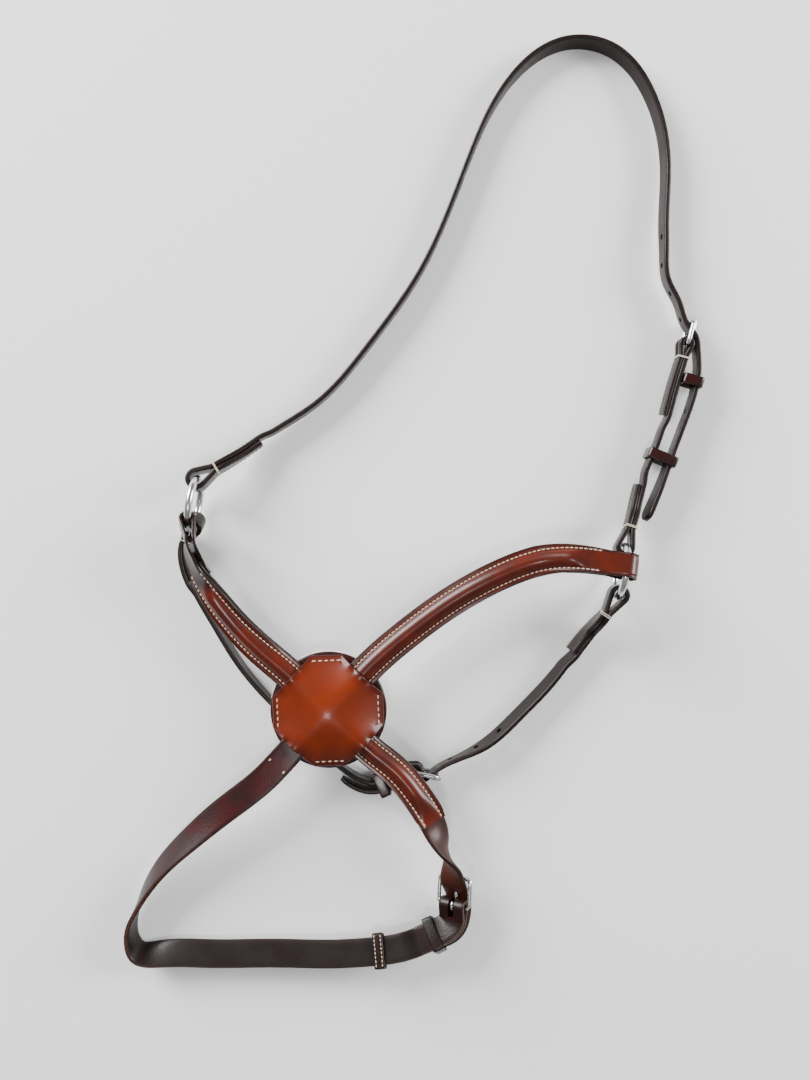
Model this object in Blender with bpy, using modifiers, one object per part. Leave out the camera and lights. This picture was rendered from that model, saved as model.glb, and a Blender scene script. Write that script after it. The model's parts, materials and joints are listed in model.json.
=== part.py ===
"""A crossed-noseband headcollar in leather and steel, laid out flat on its side edges.

Metres, +Z up. The two cheek rings share one axis, parallel to X, and the headpiece lies
towards +Y. The noseband's four arms cross under a leather star at -Y, and the chin strap
closes the loop below it. Every strap is a ribbon bent along a smooth route.
"""

import bpy
import bmesh
import numpy as np
from math import acos, asin, atan2, ceil, cos, degrees, hypot, pi, radians, sin
from mathutils import Matrix, Vector

# ---- driving dimensions ---------------------------------------------------------------

PART = "leather_headcollar"

RING_SPACING = 0.2817        # between the two ring centres
HEAD_RISE = 0.342            # from the ring axis to the top of the crown loop
NOSE_DROP = 0.1189           # from the ring axis to the middle of the star
CHIN_DROP = 0.2895           # from the ring axis to the back of the chin loop

RING_OUTSIDE = 0.038
RING_WIRE = 0.0047

HEAD_WIDTH = 0.013           # crown, cheek and jaw straps
HEAD_THICK = 0.0032
CHIN_WIDTH = 0.018           # chin strap and its billet
CHIN_THICK = 0.0030

ARM_WIDTH = 0.020            # padded noseband arms
LEFT_ARM_RING_WIDTH = 0.013  # where the arms taper to go round a ring
RIGHT_ARM_RING_WIDTH = 0.016
ARM_TOP_THICK = 0.0018
ARM_LINING_THICK = 0.0022
PADDING_RISE = 0.0034        # how far the middle of an arm stands up
PADDING_WIDTH = 0.0112
FILLER_WIDTH = 0.0064
FILLER_THICK = 0.0022

STAR_ACROSS = 0.0720         # between two stitched edges of the cover
STAR_EDGE = 0.0200           # length of a stitched edge
STAR_THICK = 0.0020
STAR_CROWN = 0.0050          # dome of the cover over the crossing
DISC_ACROSS = 0.0760
DISC_THICK = 0.0025
FELT_ACROSS = 0.0740
FELT_THICK = 0.0040
BOSS_ACROSS = 0.0150

BUCKLE_WIRE = 0.0028
HEAD_BUCKLE_LENGTH = 0.0150  # between the heel bar and the front bar
CHIN_BUCKLE_LENGTH = 0.0190
BUCKLE_SIDE_GAP = 0.0008
TONGUE_WIRE = 0.0024
KEEPER_BAND = 0.0070
KEEPER_THICK = 0.0016
WHIPPING_BAND = 0.0010
WHIPPING_THICK = 0.0006
WHIPPING_START = 0.0015      # from where a loop closes to the middle of its whipping
PUNCH = 0.0036               # punched billet holes
PUNCH_PITCH = 0.0190

TOUCH = 0.0003               # gap between pieces that lie on each other
EASE = 0.0008                # gap round a bar that a strap passes over
LOOP_EASE = 0.0006           # gap round a wire inside a turned strap end
REST = 0.0002                # lowest edge above the table

# ---- derived sizes --------------------------------------------------------------------

RING_RADIUS = (RING_OUTSIDE - RING_WIRE) / 2
HEAD_LEVEL = HEAD_WIDTH / 2 + REST
CHIN_LEVEL = CHIN_WIDTH / 2 + 0.0005    # the chin strap where it stands on edge
BUCKLE_BAR = BUCKLE_WIRE / 2
BUCKLE_LEVEL = HEAD_WIDTH / 2 + BUCKLE_SIDE_GAP + BUCKLE_WIRE + REST
FELT_LEVEL = HEAD_WIDTH + 0.0030
DISC_LEVEL = FELT_LEVEL + FELT_THICK + TOUCH
ARM_LEVEL = DISC_LEVEL + DISC_THICK + TOUCH + CHIN_THICK / 2
ARM_TOP_OFFSET = (ARM_LINING_THICK + ARM_TOP_THICK) / 2 + TOUCH
STAR_TURN = radians(56)      # direction of the upper right arm
ARM_START = 0.0140           # from the star's middle to the inner end of an arm
HEAD_TURN = -8               # place of the headpiece's ends round the rings, in degrees
LEFT_ARM_TURN = 145          # place of the padded arm on the left ring, in degrees
LEFT_ENDS_GAP = 0.0007       # past a wire, between the jaw strap and that arm on the ring
JAW_LEFT_SWING = -20
JAW_LEFT_SHANK = 0.0095
RING_CLEAR = 0.00404         # from the table to the lowest strap corner at the left ring
LEFT_ENDS_APART = (LEFT_ARM_RING_WIDTH + HEAD_WIDTH) / 2 + RING_WIRE + LEFT_ENDS_GAP
JAW_LEFT_TURN = LEFT_ARM_TURN + 2 * degrees(asin(LEFT_ENDS_APART / (2 * RING_RADIUS)))
JAW_LEFT_DIP = radians(JAW_LEFT_TURN - 180)
JAW_LEFT_REACH = (RING_RADIUS + JAW_LEFT_SHANK) * cos(radians(JAW_LEFT_SWING))
RING_LEVEL = max(RING_OUTSIDE / 2 + REST, JAW_LEFT_REACH * sin(JAW_LEFT_DIP)
                 + HEAD_WIDTH / 2 * cos(JAW_LEFT_DIP) + RING_CLEAR)

PLACE = Vector((-0.0133, -0.0201, 0.0))   # the ring line's middle, from the layout's middle
STAR = Vector((-0.0334, -NOSE_DROP, 0.0))

LEATHER_DARK = (0.045, 0.022, 0.016, 1)
LEATHER_OXBLOOD = (0.085, 0.018, 0.013, 1)
LEATHER_CHESTNUT = (0.22, 0.055, 0.022, 1)
LEATHER_STAR = (0.33, 0.050, 0.014, 1)
LEATHER_KEEPER = (0.09, 0.012, 0.014, 1)
STEEL = (0.62, 0.62, 0.61, 1)
FELT = (0.78, 0.75, 0.70, 1)
THREAD = (0.72, 0.60, 0.45, 1)


def clear_scene():
    """Remove what the file opened with."""
    for thing in list(bpy.data.objects):
        bpy.data.objects.remove(thing, do_unlink=True)


def collection(name):
    """Return a new collection linked to the scene."""
    group = bpy.data.collections.new(name)
    bpy.context.scene.collection.children.link(group)
    return group


def material(name, colour, roughness, metallic=0.0):
    """Return a Principled material."""
    paint = bpy.data.materials.new(name)
    paint.use_nodes = True
    shader = paint.node_tree.nodes["Principled BSDF"]
    shader.inputs["Base Color"].default_value = colour
    shader.inputs["Roughness"].default_value = roughness
    shader.inputs["Metallic"].default_value = metallic
    return paint


# ---- routes ---------------------------------------------------------------------------


def spline(knots, values, start, end, steps):
    """Clamped cubic spline through values at knots, read at steps."""
    count = len(knots)
    spans = np.diff(knots)
    table = np.zeros((count, count))
    right = np.zeros_like(values)
    table[0, 0] = table[-1, -1] = 1.0
    right[0], right[-1] = start, end
    for i in range(1, count - 1):
        before, after = spans[i - 1], spans[i]
        table[i, i - 1:i + 2] = after, 2 * (before + after), before
        rise = after * (values[i] - values[i - 1]) / before
        rise = rise + before * (values[i + 1] - values[i]) / after
        right[i] = 3 * rise
    slopes = np.linalg.solve(table, right)
    where = np.clip(np.searchsorted(knots, steps, side="right") - 1, 0, count - 2)
    span = spans[where][:, None]
    t = ((steps - knots[where]) / spans[where])[:, None]
    near, far = values[where], values[where + 1]
    leave, arrive = slopes[where] * span, slopes[where + 1] * span
    return ((2 * t**3 - 3 * t**2 + 1) * near + (t**3 - 2 * t**2 + t) * leave
            + (3 * t**2 - 2 * t**3) * far + (t**3 - t**2) * arrive)


class Route:
    """A smooth line with a frame at each length along it.

    Each spot is a point and the direction of the strap's width there. At a length s, the
    frame is the point, the direction along, the width direction and the face direction.
    Beyond either end the line runs on straight.
    """

    STEP = 0.0010

    def __init__(self, spots, start, end):
        points = np.array([tuple(point) for point, _ in spots])
        widths = np.array([tuple(width) for _, width in spots])
        chords = np.linalg.norm(np.diff(points, axis=0), axis=1)
        knots = np.concatenate(([0.0], np.cumsum(chords)))
        steps = np.linspace(0.0, knots[-1], ceil(knots[-1] / self.STEP) + 1)
        still = np.zeros(3)
        line = spline(knots, points, np.array(start), np.array(end), steps)
        self.line = line
        self.width = spline(knots, widths, still, still, steps)
        self.length_at = np.concatenate(
            ([0.0], np.cumsum(np.linalg.norm(np.diff(line, axis=0), axis=1))))
        self.length = float(self.length_at[-1])
        self.along = np.gradient(line, self.length_at, axis=0)
        self.along[0], self.along[-1] = start, end

    def read(self, table, s):
        """Read one table at length s."""
        s = min(max(s, 0.0), self.length)
        return Vector([float(np.interp(s, self.length_at, column)) for column in table.T])

    def frame(self, s):
        """Return the point, along, width and face directions at length s."""
        along = self.read(self.along, s).normalized()
        point = self.read(self.line, s)
        point += along * (min(s, 0.0) + max(s - self.length, 0.0))
        width = self.read(self.width, s)
        width = (width - along * width.dot(along)).normalized()
        return point, along, width, width.cross(along)

    def spot(self, s, out=0.0, across=0.0):
        """Return the point at length s, moved out of the face and across the width."""
        point, _, width, face = self.frame(s)
        return point + face * out + width * across

    def matrix(self, s, out=0.0):
        """Return a matrix with X across, Y along and Z out of the face."""
        _, along, width, face = self.frame(s)
        turn = Matrix((width, along, face)).transposed().to_4x4()
        return Matrix.Translation(self.spot(s, out)) @ turn

    def nearest(self, point):
        """Return the length along the route that lies closest to a point."""
        gaps = np.linalg.norm(self.line - np.array(tuple(point)), axis=1)
        return float(self.length_at[int(np.argmin(gaps))])


def width_direction(along, tilt):
    """Width of a strap going along: flat at 0 degrees, on edge at 90 or -90 degrees."""
    right = along.cross(Vector((0, 0, 1))).normalized()
    up = right.cross(along).normalized()
    return right * cos(radians(tilt)) + up * sin(radians(tilt))


def laid(points, start, end):
    """Turn (x, y, z, tilt) points into spots between two points that are known already."""
    places = [Vector(point[:3]) for point in points]
    line = [start, *places, end]
    spots = []
    for i, (x, y, z, tilt) in enumerate(points):
        along = (line[i + 2] - line[i]).normalized()
        spots.append((Vector((x, y, z)), width_direction(along, tilt)))
    return spots


def head(across, rise, level=HEAD_LEVEL, tilt=90):
    """A point of the headpiece, as shares of the ring spacing and the head rise."""
    return (PLACE.x + across * RING_SPACING, PLACE.y + rise * HEAD_RISE, level, tilt)


def nose(across, drop, level, tilt):
    """A point of the noseband, as shares of the ring spacing and the chin drop."""
    return (PLACE.x + across * RING_SPACING, PLACE.y - drop * CHIN_DROP, level, tilt)


class RingHold:
    """Where a strap end goes round a ring.

    turn is the place round the ring in degrees from +Y towards +Z, and swing turns the
    strap from the ring's radius towards +X.
    """

    def __init__(self, side, turn, swing, shank, flip=1):
        turn, swing = radians(turn), radians(swing)
        radius = Vector((0, cos(turn), sin(turn)))
        centre = ring_centre(side)
        self.wire = centre + radius * RING_RADIUS
        self.away = radius * cos(swing) + Vector((1, 0, 0)) * sin(swing)
        self.width = Vector((0, -sin(turn), cos(turn))) * flip
        self.shank = shank
        self.swing = swing
        self.junction = self.wire + self.away * shank

    def end(self, width, thickness, half_gap, back, **more):
        """Side view of a strap end on this ring, clear of the wire's bend."""
        bend = sagitta(width)
        bar = RING_WIRE / 2 + bend * abs(sin(self.swing))
        return turned_end(bar, bend * cos(self.swing), self.shank, half_gap, back,
                          thickness, **more)

    @property
    def spot(self):
        """The junction as a spot of a route."""
        return (self.junction, self.width)


def ring_centre(side):
    """Centre of the left (-1) or right (1) ring."""
    return PLACE + Vector((side * RING_SPACING / 2, 0, RING_LEVEL))


def sagitta(width):
    """How far a ring's wire bends away within a strap of this width."""
    return RING_RADIUS - (RING_RADIUS**2 - (width / 2) ** 2) ** 0.5


# ---- strap side views -----------------------------------------------------------------


def runs(start, stop, step=0.0080):
    """Lengths from start to stop, both included, about one step apart."""
    count = max(1, round(abs(stop - start) / step))
    return [start + (stop - start) * i / count for i in range(count + 1)]


def turned_end(bar, slack, shank, half_gap, back, thickness, ramp=0.012):
    """Side view of a strap end taken round a bar and laid back on itself.

    The bar is at the origin and the strap runs off towards +s. Returned from the single
    strap in: out along the front, round the bar, and back to the turned end.
    """
    radius = bar + LOOP_EASE + thickness / 2
    reach = hypot(shank + slack, half_gap)
    first = atan2(half_gap, shank + slack) + acos(radius / reach)
    turns = runs(first, 2 * pi - first, 0.45)
    front = [(back + ramp, 0.0), (back + ramp / 2, half_gap * 0.6)]
    front += [(s, half_gap) for s in runs(back + TOUCH, shank, 0.005)]
    bend = [(radius * cos(turn) - slack, radius * sin(turn)) for turn in turns]
    rear = [(s, -half_gap) for s in runs(shank, back, 0.005)]
    return front + bend + rear


def at_start(end, shank):
    """Put a turned end at the start of a route, whose line begins at the junction."""
    return [(s - shank, out) for s, out in reversed(end)]


def at_finish(end, length, shank):
    """Put a turned end at the end of a route of this length."""
    return [(length + shank - s, out) for s, out in end]


def joined(first, last):
    """Fill in the single strap between two side views."""
    middle = [(s, 0.0) for s in runs(first[-1][0], last[0][0])[1:-1]]
    return first + middle + last


# ---- makers ---------------------------------------------------------------------------


def add_object(name, data, paint, group=None):
    """Link a new object for some data, with its material."""
    thing = bpy.data.objects.new(name, data)
    data.materials.append(paint)
    (group or PARTS).objects.link(thing)
    return thing


def sheet(name, rows, paint):
    """An open sheet: a grid whose vertices take the places in rows."""
    stations, places = len(rows), len(rows[0])
    work = bmesh.new()
    bmesh.ops.create_grid(work, x_segments=stations - 1, y_segments=places - 1, size=1)
    for vert in work.verts:
        i = round((vert.co.x + 1) / 2 * (stations - 1))
        j = round((vert.co.y + 1) / 2 * (places - 1))
        vert.co = rows[i][j]
    mesh = bpy.data.meshes.new(name)
    work.to_mesh(mesh)
    work.free()
    mesh.shade_smooth()
    mesh.set_sharp_from_angle(angle=radians(35))
    return add_object(name, mesh, paint)


def solidify(thing, thickness, offset=0.0):
    """Give an open sheet its thickness."""
    shell = thing.modifiers.new("thickness", "SOLIDIFY")
    shell.thickness = thickness
    shell.offset = offset
    return thing


def strap(name, route, side_view, width, thickness, paint, narrowing=None):
    """A strap: a ribbon that follows a side view along a route."""
    rows = []
    for s, out in side_view:
        half = width / 2 * (narrowing(s) if narrowing else 1.0)
        rows.append([route.spot(s, out, -half), route.spot(s, out, half)])
    return solidify(sheet(name, rows, paint), thickness)


def rounded_tip(end, width):
    """Narrow a strap to a rounded tip at its end."""
    radius = width / 2

    def share(s):
        inside = (s - (end - radius)) / radius
        return 1.0 if inside <= 0 else max(0.30, (1 - min(inside, 1.0) ** 2) ** 0.5)

    return share


def loose_cutter(thing):
    """Keep a cutter out of the part and show it as a wire."""
    thing.hide_render = True
    thing.display_type = "WIRE"
    return thing


def cut(thing, cutter):
    """Take a cutter out of a piece."""
    knife = thing.modifiers.new("cut", "BOOLEAN")
    knife.operation = "DIFFERENCE"
    knife.object = cutter
    return thing


def box_cutter(name, size, matrix):
    """A box to cut with, centred on a matrix."""
    work = bmesh.new()
    bmesh.ops.create_cube(work, size=1.0)
    bmesh.ops.scale(work, vec=size, verts=work.verts)
    mesh = bpy.data.meshes.new(name)
    work.to_mesh(mesh)
    work.free()
    thing = add_object(name, mesh, PAINT["steel"], CUTTERS)
    thing.matrix_world = matrix
    return loose_cutter(thing)


def pin_cutter(name, radius, length, matrix):
    """A cylinder to cut with, along the matrix's Z."""
    work = bmesh.new()
    bmesh.ops.create_cone(work, cap_ends=True, segments=12, radius1=radius,
                          radius2=radius, depth=length)
    mesh = bpy.data.meshes.new(name)
    work.to_mesh(mesh)
    work.free()
    thing = add_object(name, mesh, PAINT["steel"], CUTTERS)
    thing.matrix_world = matrix
    return loose_cutter(thing)


def wire(name, points, radius, paint, matrix=None, closed=False):
    """A bent wire through points."""
    curve = bpy.data.curves.new(name, "CURVE")
    curve.dimensions = "3D"
    curve.bevel_depth = radius
    curve.bevel_resolution = 2
    curve.use_fill_caps = not closed
    line = curve.splines.new("POLY")
    line.points.add(len(points) - 1)
    for place, point in zip(line.points, points):
        place.co = (*point, 1.0)
    line.use_cyclic_u = closed
    thing = add_object(name, curve, paint)
    if matrix:
        thing.matrix_world = matrix
    return thing


def rounded_outline(width, height, radius, corner_steps=3):
    """Points of a rounded rectangle about the origin."""
    points = []
    for quarter, (sx, sy) in enumerate(((1, 1), (-1, 1), (-1, -1), (1, -1))):
        middle = (sx * (width / 2 - radius), sy * (height / 2 - radius))
        for step in range(corner_steps + 1):
            turn = (quarter + step / corner_steps) * pi / 2
            points.append((middle[0] + radius * cos(turn), middle[1] + radius * sin(turn)))
    return points


def band(name, opening, thickness, length, paint, matrix):
    """A closed band with a rounded rectangular opening; the matrix's Z runs through it."""
    width, height = opening
    curve = bpy.data.curves.new(name, "CURVE")
    curve.dimensions = "2D"
    curve.fill_mode = "BOTH"
    curve.extrude = length / 2
    corner = thickness * 0.6
    outlines = (rounded_outline(width, height, corner),
                rounded_outline(width + 2 * thickness, height + 2 * thickness,
                                corner + thickness))
    for outline in outlines:
        line = curve.splines.new("POLY")
        line.points.add(len(outline) - 1)
        for place, (x, y) in zip(line.points, outline):
            place.co = (x, y, 0.0, 1.0)
        line.use_cyclic_u = True
    thing = add_object(name, curve, paint)
    thing.matrix_world = matrix
    return thing


def band_matrix(route, s, out=0.0):
    """Matrix for a band round a strap: X across, Y out of the face, Z along."""
    _, along, width, face = route.frame(s)
    turn = Matrix((width, face, -along)).transposed().to_4x4()
    return Matrix.Translation(route.spot(s, out)) @ turn


def whipping(name, route, s, width, stack):
    """Thread wound round a doubled strap beside a turned end."""
    opening = (width + 2 * EASE, stack + 4 * EASE)
    return band(name, opening, WHIPPING_THICK, WHIPPING_BAND, PAINT["thread"],
                band_matrix(route, s))


# ---- rings and buckles ----------------------------------------------------------------


def ring(name, side):
    """A cheek ring: a steel torus about the ring axis."""
    bpy.ops.mesh.primitive_torus_add(
        major_radius=RING_RADIUS, minor_radius=RING_WIRE / 2,
        major_segments=36, minor_segments=8,
        location=ring_centre(side), rotation=(0, pi / 2, 0))
    thing = bpy.context.object
    thing.name = name
    thing.data.name = name
    thing.data.shade_smooth()
    thing.data.materials.append(PAINT["steel"])
    for group in list(thing.users_collection):
        group.objects.unlink(thing)
    PARTS.objects.link(thing)
    return thing


class Buckle:
    """A single-bar buckle on the end of a strap's route.

    The heel bar stands `shank` past the end of the route and the front bar `length`
    further on. Lengths along the buckle are counted from the heel bar.
    """

    def __init__(self, name, route, length, width, thickness, shank=0.008):
        self.name = name
        self.route = route
        self.length = length
        self.width = width
        self.thickness = thickness
        self.shank = shank
        self.heel = route.length + shank
        self.eye = BUCKLE_BAR + TOUCH + TONGUE_WIRE / 2

    def build_frame(self):
        """The wire frame, hinged on its heel bar."""
        across = self.width + 2 * BUCKLE_SIDE_GAP + BUCKLE_WIRE
        outline = rounded_outline(across, self.length, 0.0028)
        points = [(x, y + self.length / 2, 0.0) for x, y in outline]
        return wire(self.name + "_frame", points, BUCKLE_BAR, PAINT["steel"],
                    self.route.matrix(self.heel), closed=True)

    def build_tongue(self):
        """The tongue, curled round the heel bar and resting on the front bar."""
        turns = runs(radians(318), radians(90), 0.5)
        points = [(0.0, self.eye * cos(turn), self.eye * sin(turn)) for turn in turns]
        points += [(0.0, self.length * share, self.eye) for share in (0.35, 0.7, 1.0)]
        points.append((0.0, self.length + TONGUE_WIRE, self.eye * 0.8))
        return wire(self.name + "_tongue", points, TONGUE_WIRE / 2, PAINT["steel"],
                    self.route.matrix(self.heel))

    def slot(self, holder):
        """Cut the slot for the tongue through the strap that carries the buckle."""
        long = 2 * (BUCKLE_BAR + LOOP_EASE + self.thickness) + 0.004
        size = (TONGUE_WIRE + 2 * EASE, long, long)
        middle = self.route.matrix(self.heel)
        return cut(holder, box_cutter(self.name + "_slot", size, middle))

    def hole(self, billet, thickness):
        """Cut the hole where the tongue passes through the billet."""
        slope, _, over = self.crossing(thickness)
        place = (over - self.eye * cos(slope)) / sin(slope)
        middle = self.route.matrix(self.heel)
        middle = middle @ Matrix.Translation((0, place, self.eye))
        middle = middle @ Matrix.Rotation(pi / 2, 4, "X")
        radius = TONGUE_WIRE / 2 + EASE
        length = 4 * (radius + thickness / 2)
        return cut(billet, pin_cutter(self.name + "_hole", radius, length, middle))

    def crossing(self, thickness):
        """Slope and clearances of a billet that runs under the front bar and over the heel."""
        under = BUCKLE_BAR + EASE + thickness / 2
        over = BUCKLE_BAR + LOOP_EASE + self.thickness + EASE + thickness / 2
        return asin((under + over) / self.length), under, over

    def billet_spots(self, thickness, approach):
        """Spots for a billet, from the approach to behind the heel bar."""
        slope, under, over = self.crossing(thickness)
        places = (approach,
                  (self.length - under * sin(slope), -under * cos(slope)),
                  (over * sin(slope), over * cos(slope)),
                  (-0.0010, over + TOUCH))
        width = -self.route.frame(self.heel)[2]
        return [(self.route.spot(self.heel + s, out), width) for s, out in places]


# ---- the headpiece --------------------------------------------------------------------


def cheek_route():
    """From the right ring up to the head buckle, outer face towards +X."""
    hold = RingHold(1, HEAD_TURN, 8, 0.011, flip=-1)
    end = Vector(head(0.5720, 0.4290, BUCKLE_LEVEL)[:3])
    points = [head(0.5133, 0.1110, HEAD_LEVEL + 0.0067, -90),
              head(0.5218, 0.1754, BUCKLE_LEVEL, -90),
              head(0.5435, 0.2526, BUCKLE_LEVEL, -90),
              head(0.5573, 0.3363, BUCKLE_LEVEL, -90),
              head(0.5660, 0.3950, BUCKLE_LEVEL, -90)]
    spots = laid(points, hold.junction, end)
    along = Vector((0.10, 0.995, 0)).normalized()
    spots.append((end, width_direction(along, -90)))
    return Route([hold.spot, *spots], hold.away, along), hold


def crown_route(buckle):
    """From the left ring over the top, through the head buckle and down to the tip."""
    hold = RingHold(-1, HEAD_TURN, 50, 0.012)
    points = [head(-0.4171, 0.1082, HEAD_LEVEL + 0.0061), head(-0.3578, 0.1573, HEAD_LEVEL + 0.0017),
              head(-0.2620, 0.2301), head(-0.1672, 0.3485), head(-0.0650, 0.5216),
              head(0.0078, 0.7600), head(0.0643, 0.8988, tilt=94),
              head(0.1878, 0.9994, HEAD_LEVEL + 0.0003, 100),
              head(0.2954, 1.0006, HEAD_LEVEL + 0.0003, 101),
              head(0.4011, 0.9263, HEAD_LEVEL + 0.0005, 101),
              head(0.4650, 0.7927, HEAD_LEVEL + 0.0011, 100),
              head(0.4814, 0.6792, HEAD_LEVEL + 0.0025, 99), head(0.4920, 0.6240, BUCKLE_LEVEL, 96),
              head(0.5098, 0.5675, BUCKLE_LEVEL, 92)]
    through = buckle.billet_spots(HEAD_THICK, (buckle.length + 0.0107, -0.0120))
    tail = [head(0.6105, 0.4160, BUCKLE_LEVEL), head(0.6110, 0.3600, BUCKLE_LEVEL),
            head(0.5985, 0.3012, BUCKLE_LEVEL), head(0.5830, 0.2398, BUCKLE_LEVEL, 91),
            head(0.5650, 0.1675, BUCKLE_LEVEL, 98), head(0.5450, 0.1044, BUCKLE_LEVEL, 102)]
    tip = Vector(tail[-1][:3])
    spots = laid(points, hold.junction, through[0][0])
    spots += through
    spots += laid(tail[:-1], through[-1][0], tip)
    along = Vector((-0.27, -0.963, 0)).normalized()
    spots.append((tip, width_direction(along, 102)))
    return Route([hold.spot, *spots], hold.away, along), hold


def build_headpiece():
    """Crown strap, cheek strap, their buckle and keepers."""
    half = (HEAD_THICK + TOUCH) / 2
    cheek, hold = cheek_route()
    buckle = Buckle("head_buckle", cheek, HEAD_BUCKLE_LENGTH, HEAD_WIDTH, HEAD_THICK)
    low = hold.end(HEAD_WIDTH, HEAD_THICK, half, 0.044)
    high = turned_end(BUCKLE_BAR, 0.0, buckle.shank, half, 0.048, HEAD_THICK)
    view = joined(at_start(low, hold.shank), at_finish(high, cheek.length, buckle.shank))
    cheek_strap = strap("cheek_strap", cheek, view, HEAD_WIDTH, HEAD_THICK, PAINT["dark"])
    buckle.slot(cheek_strap)
    pieces = [cheek_strap]

    crown, crown_hold = crown_route(buckle)
    low = crown_hold.end(HEAD_WIDTH, HEAD_THICK, half, 0.048)
    view = at_start(low, crown_hold.shank)
    through = crown.nearest(cheek.spot(buckle.heel))
    view += [(s, 0.0) for s in runs(view[-1][0], through - 0.030, 0.010)[1:]]
    view += [(s, 0.0) for s in runs(through - 0.030, through + 0.025, 0.0028)[1:]]
    view += [(s, 0.0) for s in runs(through + 0.025, crown.length - 0.008)[1:]]
    view += [(s, 0.0) for s in runs(crown.length - 0.008, crown.length, 0.0015)[1:]]
    crown_strap = strap("crown_strap", crown, view, HEAD_WIDTH, HEAD_THICK, PAINT["dark"],
                        rounded_tip(crown.length, HEAD_WIDTH))
    buckle.hole(crown_strap, HEAD_THICK)
    for count in range(1, 5):
        punch("crown_hole", crown_strap, crown, through - count * PUNCH_PITCH)
    for count in (1, 2):
        punch("crown_tail_hole", crown_strap, crown, through + 0.008 + count * PUNCH_PITCH)
    pieces.append(crown_strap)

    frame, tongue = buckle.build_frame(), buckle.build_tongue()
    stack = 2 * HEAD_THICK + TOUCH
    pieces += [
        whipping("crown_ring_whipping", crown, WHIPPING_START, HEAD_WIDTH, stack),
        whipping("cheek_ring_whipping", cheek, WHIPPING_START, HEAD_WIDTH, stack),
        whipping("cheek_buckle_whipping", cheek, cheek.length - WHIPPING_START, HEAD_WIDTH,
                 stack),
    ]
    pieces.append(head_fixed_keeper(cheek, crown))
    slider = head_sliding_keeper(cheek, crown)
    return pieces, frame, tongue, slider


def punch(name, thing, route, s):
    """Cut a round hole through a strap's face."""
    cut(thing, pin_cutter(name, PUNCH / 2, 0.012, route.matrix(s)))


def head_fixed_keeper(cheek, crown):
    """The keeper stitched to the cheek strap, round the billet only."""
    s = cheek.length - 0.014
    centre = cheek.spot(s)
    tail = crown.spot(crown.nearest(centre + cheek.frame(s)[3] * 0.013))
    out = (tail - centre).dot(cheek.frame(s)[3])
    inner = HEAD_THICK + TOUCH / 2 + TOUCH + KEEPER_THICK
    outer = out + HEAD_THICK / 2 + 2 * TOUCH
    opening = (HEAD_WIDTH + 2 * TOUCH, outer - inner)
    return band("head_upper_keeper", opening, KEEPER_THICK, KEEPER_BAND, PAINT["keeper"],
                band_matrix(cheek, s, (inner + outer) / 2))


def head_sliding_keeper(cheek, crown):
    """The loose keeper round both the cheek strap and the billet."""
    s = cheek.nearest(Vector(head(0.5390, 0.2320)[:3]))
    centre = cheek.spot(s)
    tail = crown.spot(crown.nearest(centre + cheek.frame(s)[3] * 0.012))
    out = (tail - centre).dot(cheek.frame(s)[3])
    inner = -HEAD_THICK / 2 - EASE
    outer = out + HEAD_THICK / 2 + EASE + TOUCH
    opening = (HEAD_WIDTH + 2 * EASE, outer - inner)
    return band("head_lower_keeper", opening, KEEPER_THICK, KEEPER_BAND, PAINT["keeper"],
                band_matrix(cheek, s, (inner + outer) / 2))


# ---- the jaw strap --------------------------------------------------------------------


def jaw_left_route():
    """From the left ring, under the star, to the jaw buckle."""
    hold = RingHold(-1, JAW_LEFT_TURN, JAW_LEFT_SWING, JAW_LEFT_SHANK)
    end = Vector(nose(0.0760, 0.5220, BUCKLE_LEVEL, 0)[:3])
    points = [nose(-0.5110, 0.1250, HEAD_LEVEL + 0.0015, -95),
              nose(-0.4757, 0.1930, HEAD_LEVEL + 0.0007, -95),
              nose(-0.4200, 0.2620, HEAD_LEVEL, -95), nose(-0.3465, 0.3450, HEAD_LEVEL, -95),
              nose(-0.2550, 0.4220, HEAD_LEVEL, -92), nose(-0.1480, 0.4940, HEAD_LEVEL + 0.0002, -90),
              nose(-0.0500, 0.5520, HEAD_LEVEL + 0.0019, -90), nose(0.0150, 0.5600, BUCKLE_LEVEL, -90)]
    spots = laid(points, hold.junction, end)
    along = Vector((0.990, -0.05, 0)).normalized()
    spots.append((end, width_direction(along, -90)))
    return Route([hold.spot, *spots], hold.away, along), hold


def jaw_right_route(buckle):
    """From the right ring to the jaw buckle, through it and on to the tip."""
    hold = RingHold(1, 180, -24, 0.012, flip=-1)
    points = [nose(0.4650, 0.1344, HEAD_LEVEL + 0.0045, 96),
              nose(0.4363, 0.1851, HEAD_LEVEL + 0.0011, 104),
              nose(0.3852, 0.2753, HEAD_LEVEL + 0.0007, 110),
              nose(0.3195, 0.3668, HEAD_LEVEL + 0.0013, 110),
              nose(0.2554, 0.4400, BUCKLE_LEVEL, 106)]
    through = buckle.billet_spots(HEAD_THICK, (buckle.length + 0.0090, -0.0125))
    _, _, over = buckle.crossing(HEAD_THICK)
    follow = ((0.014, over - TOUCH), (0.026, over - 3 * TOUCH), (0.038, over - 5 * TOUCH))
    spots = laid(points, hold.junction, through[0][0]) + through
    for gap, out in follow:
        s = buckle.heel - gap
        spots.append((buckle.route.spot(s, out), -buckle.route.frame(s)[2]))
    s = buckle.heel - 0.050
    spots.append((buckle.route.spot(s, over - 6 * TOUCH), -buckle.route.frame(s)[2]))
    return Route([hold.spot, *spots], hold.away, -buckle.route.frame(s)[1]), hold


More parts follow.
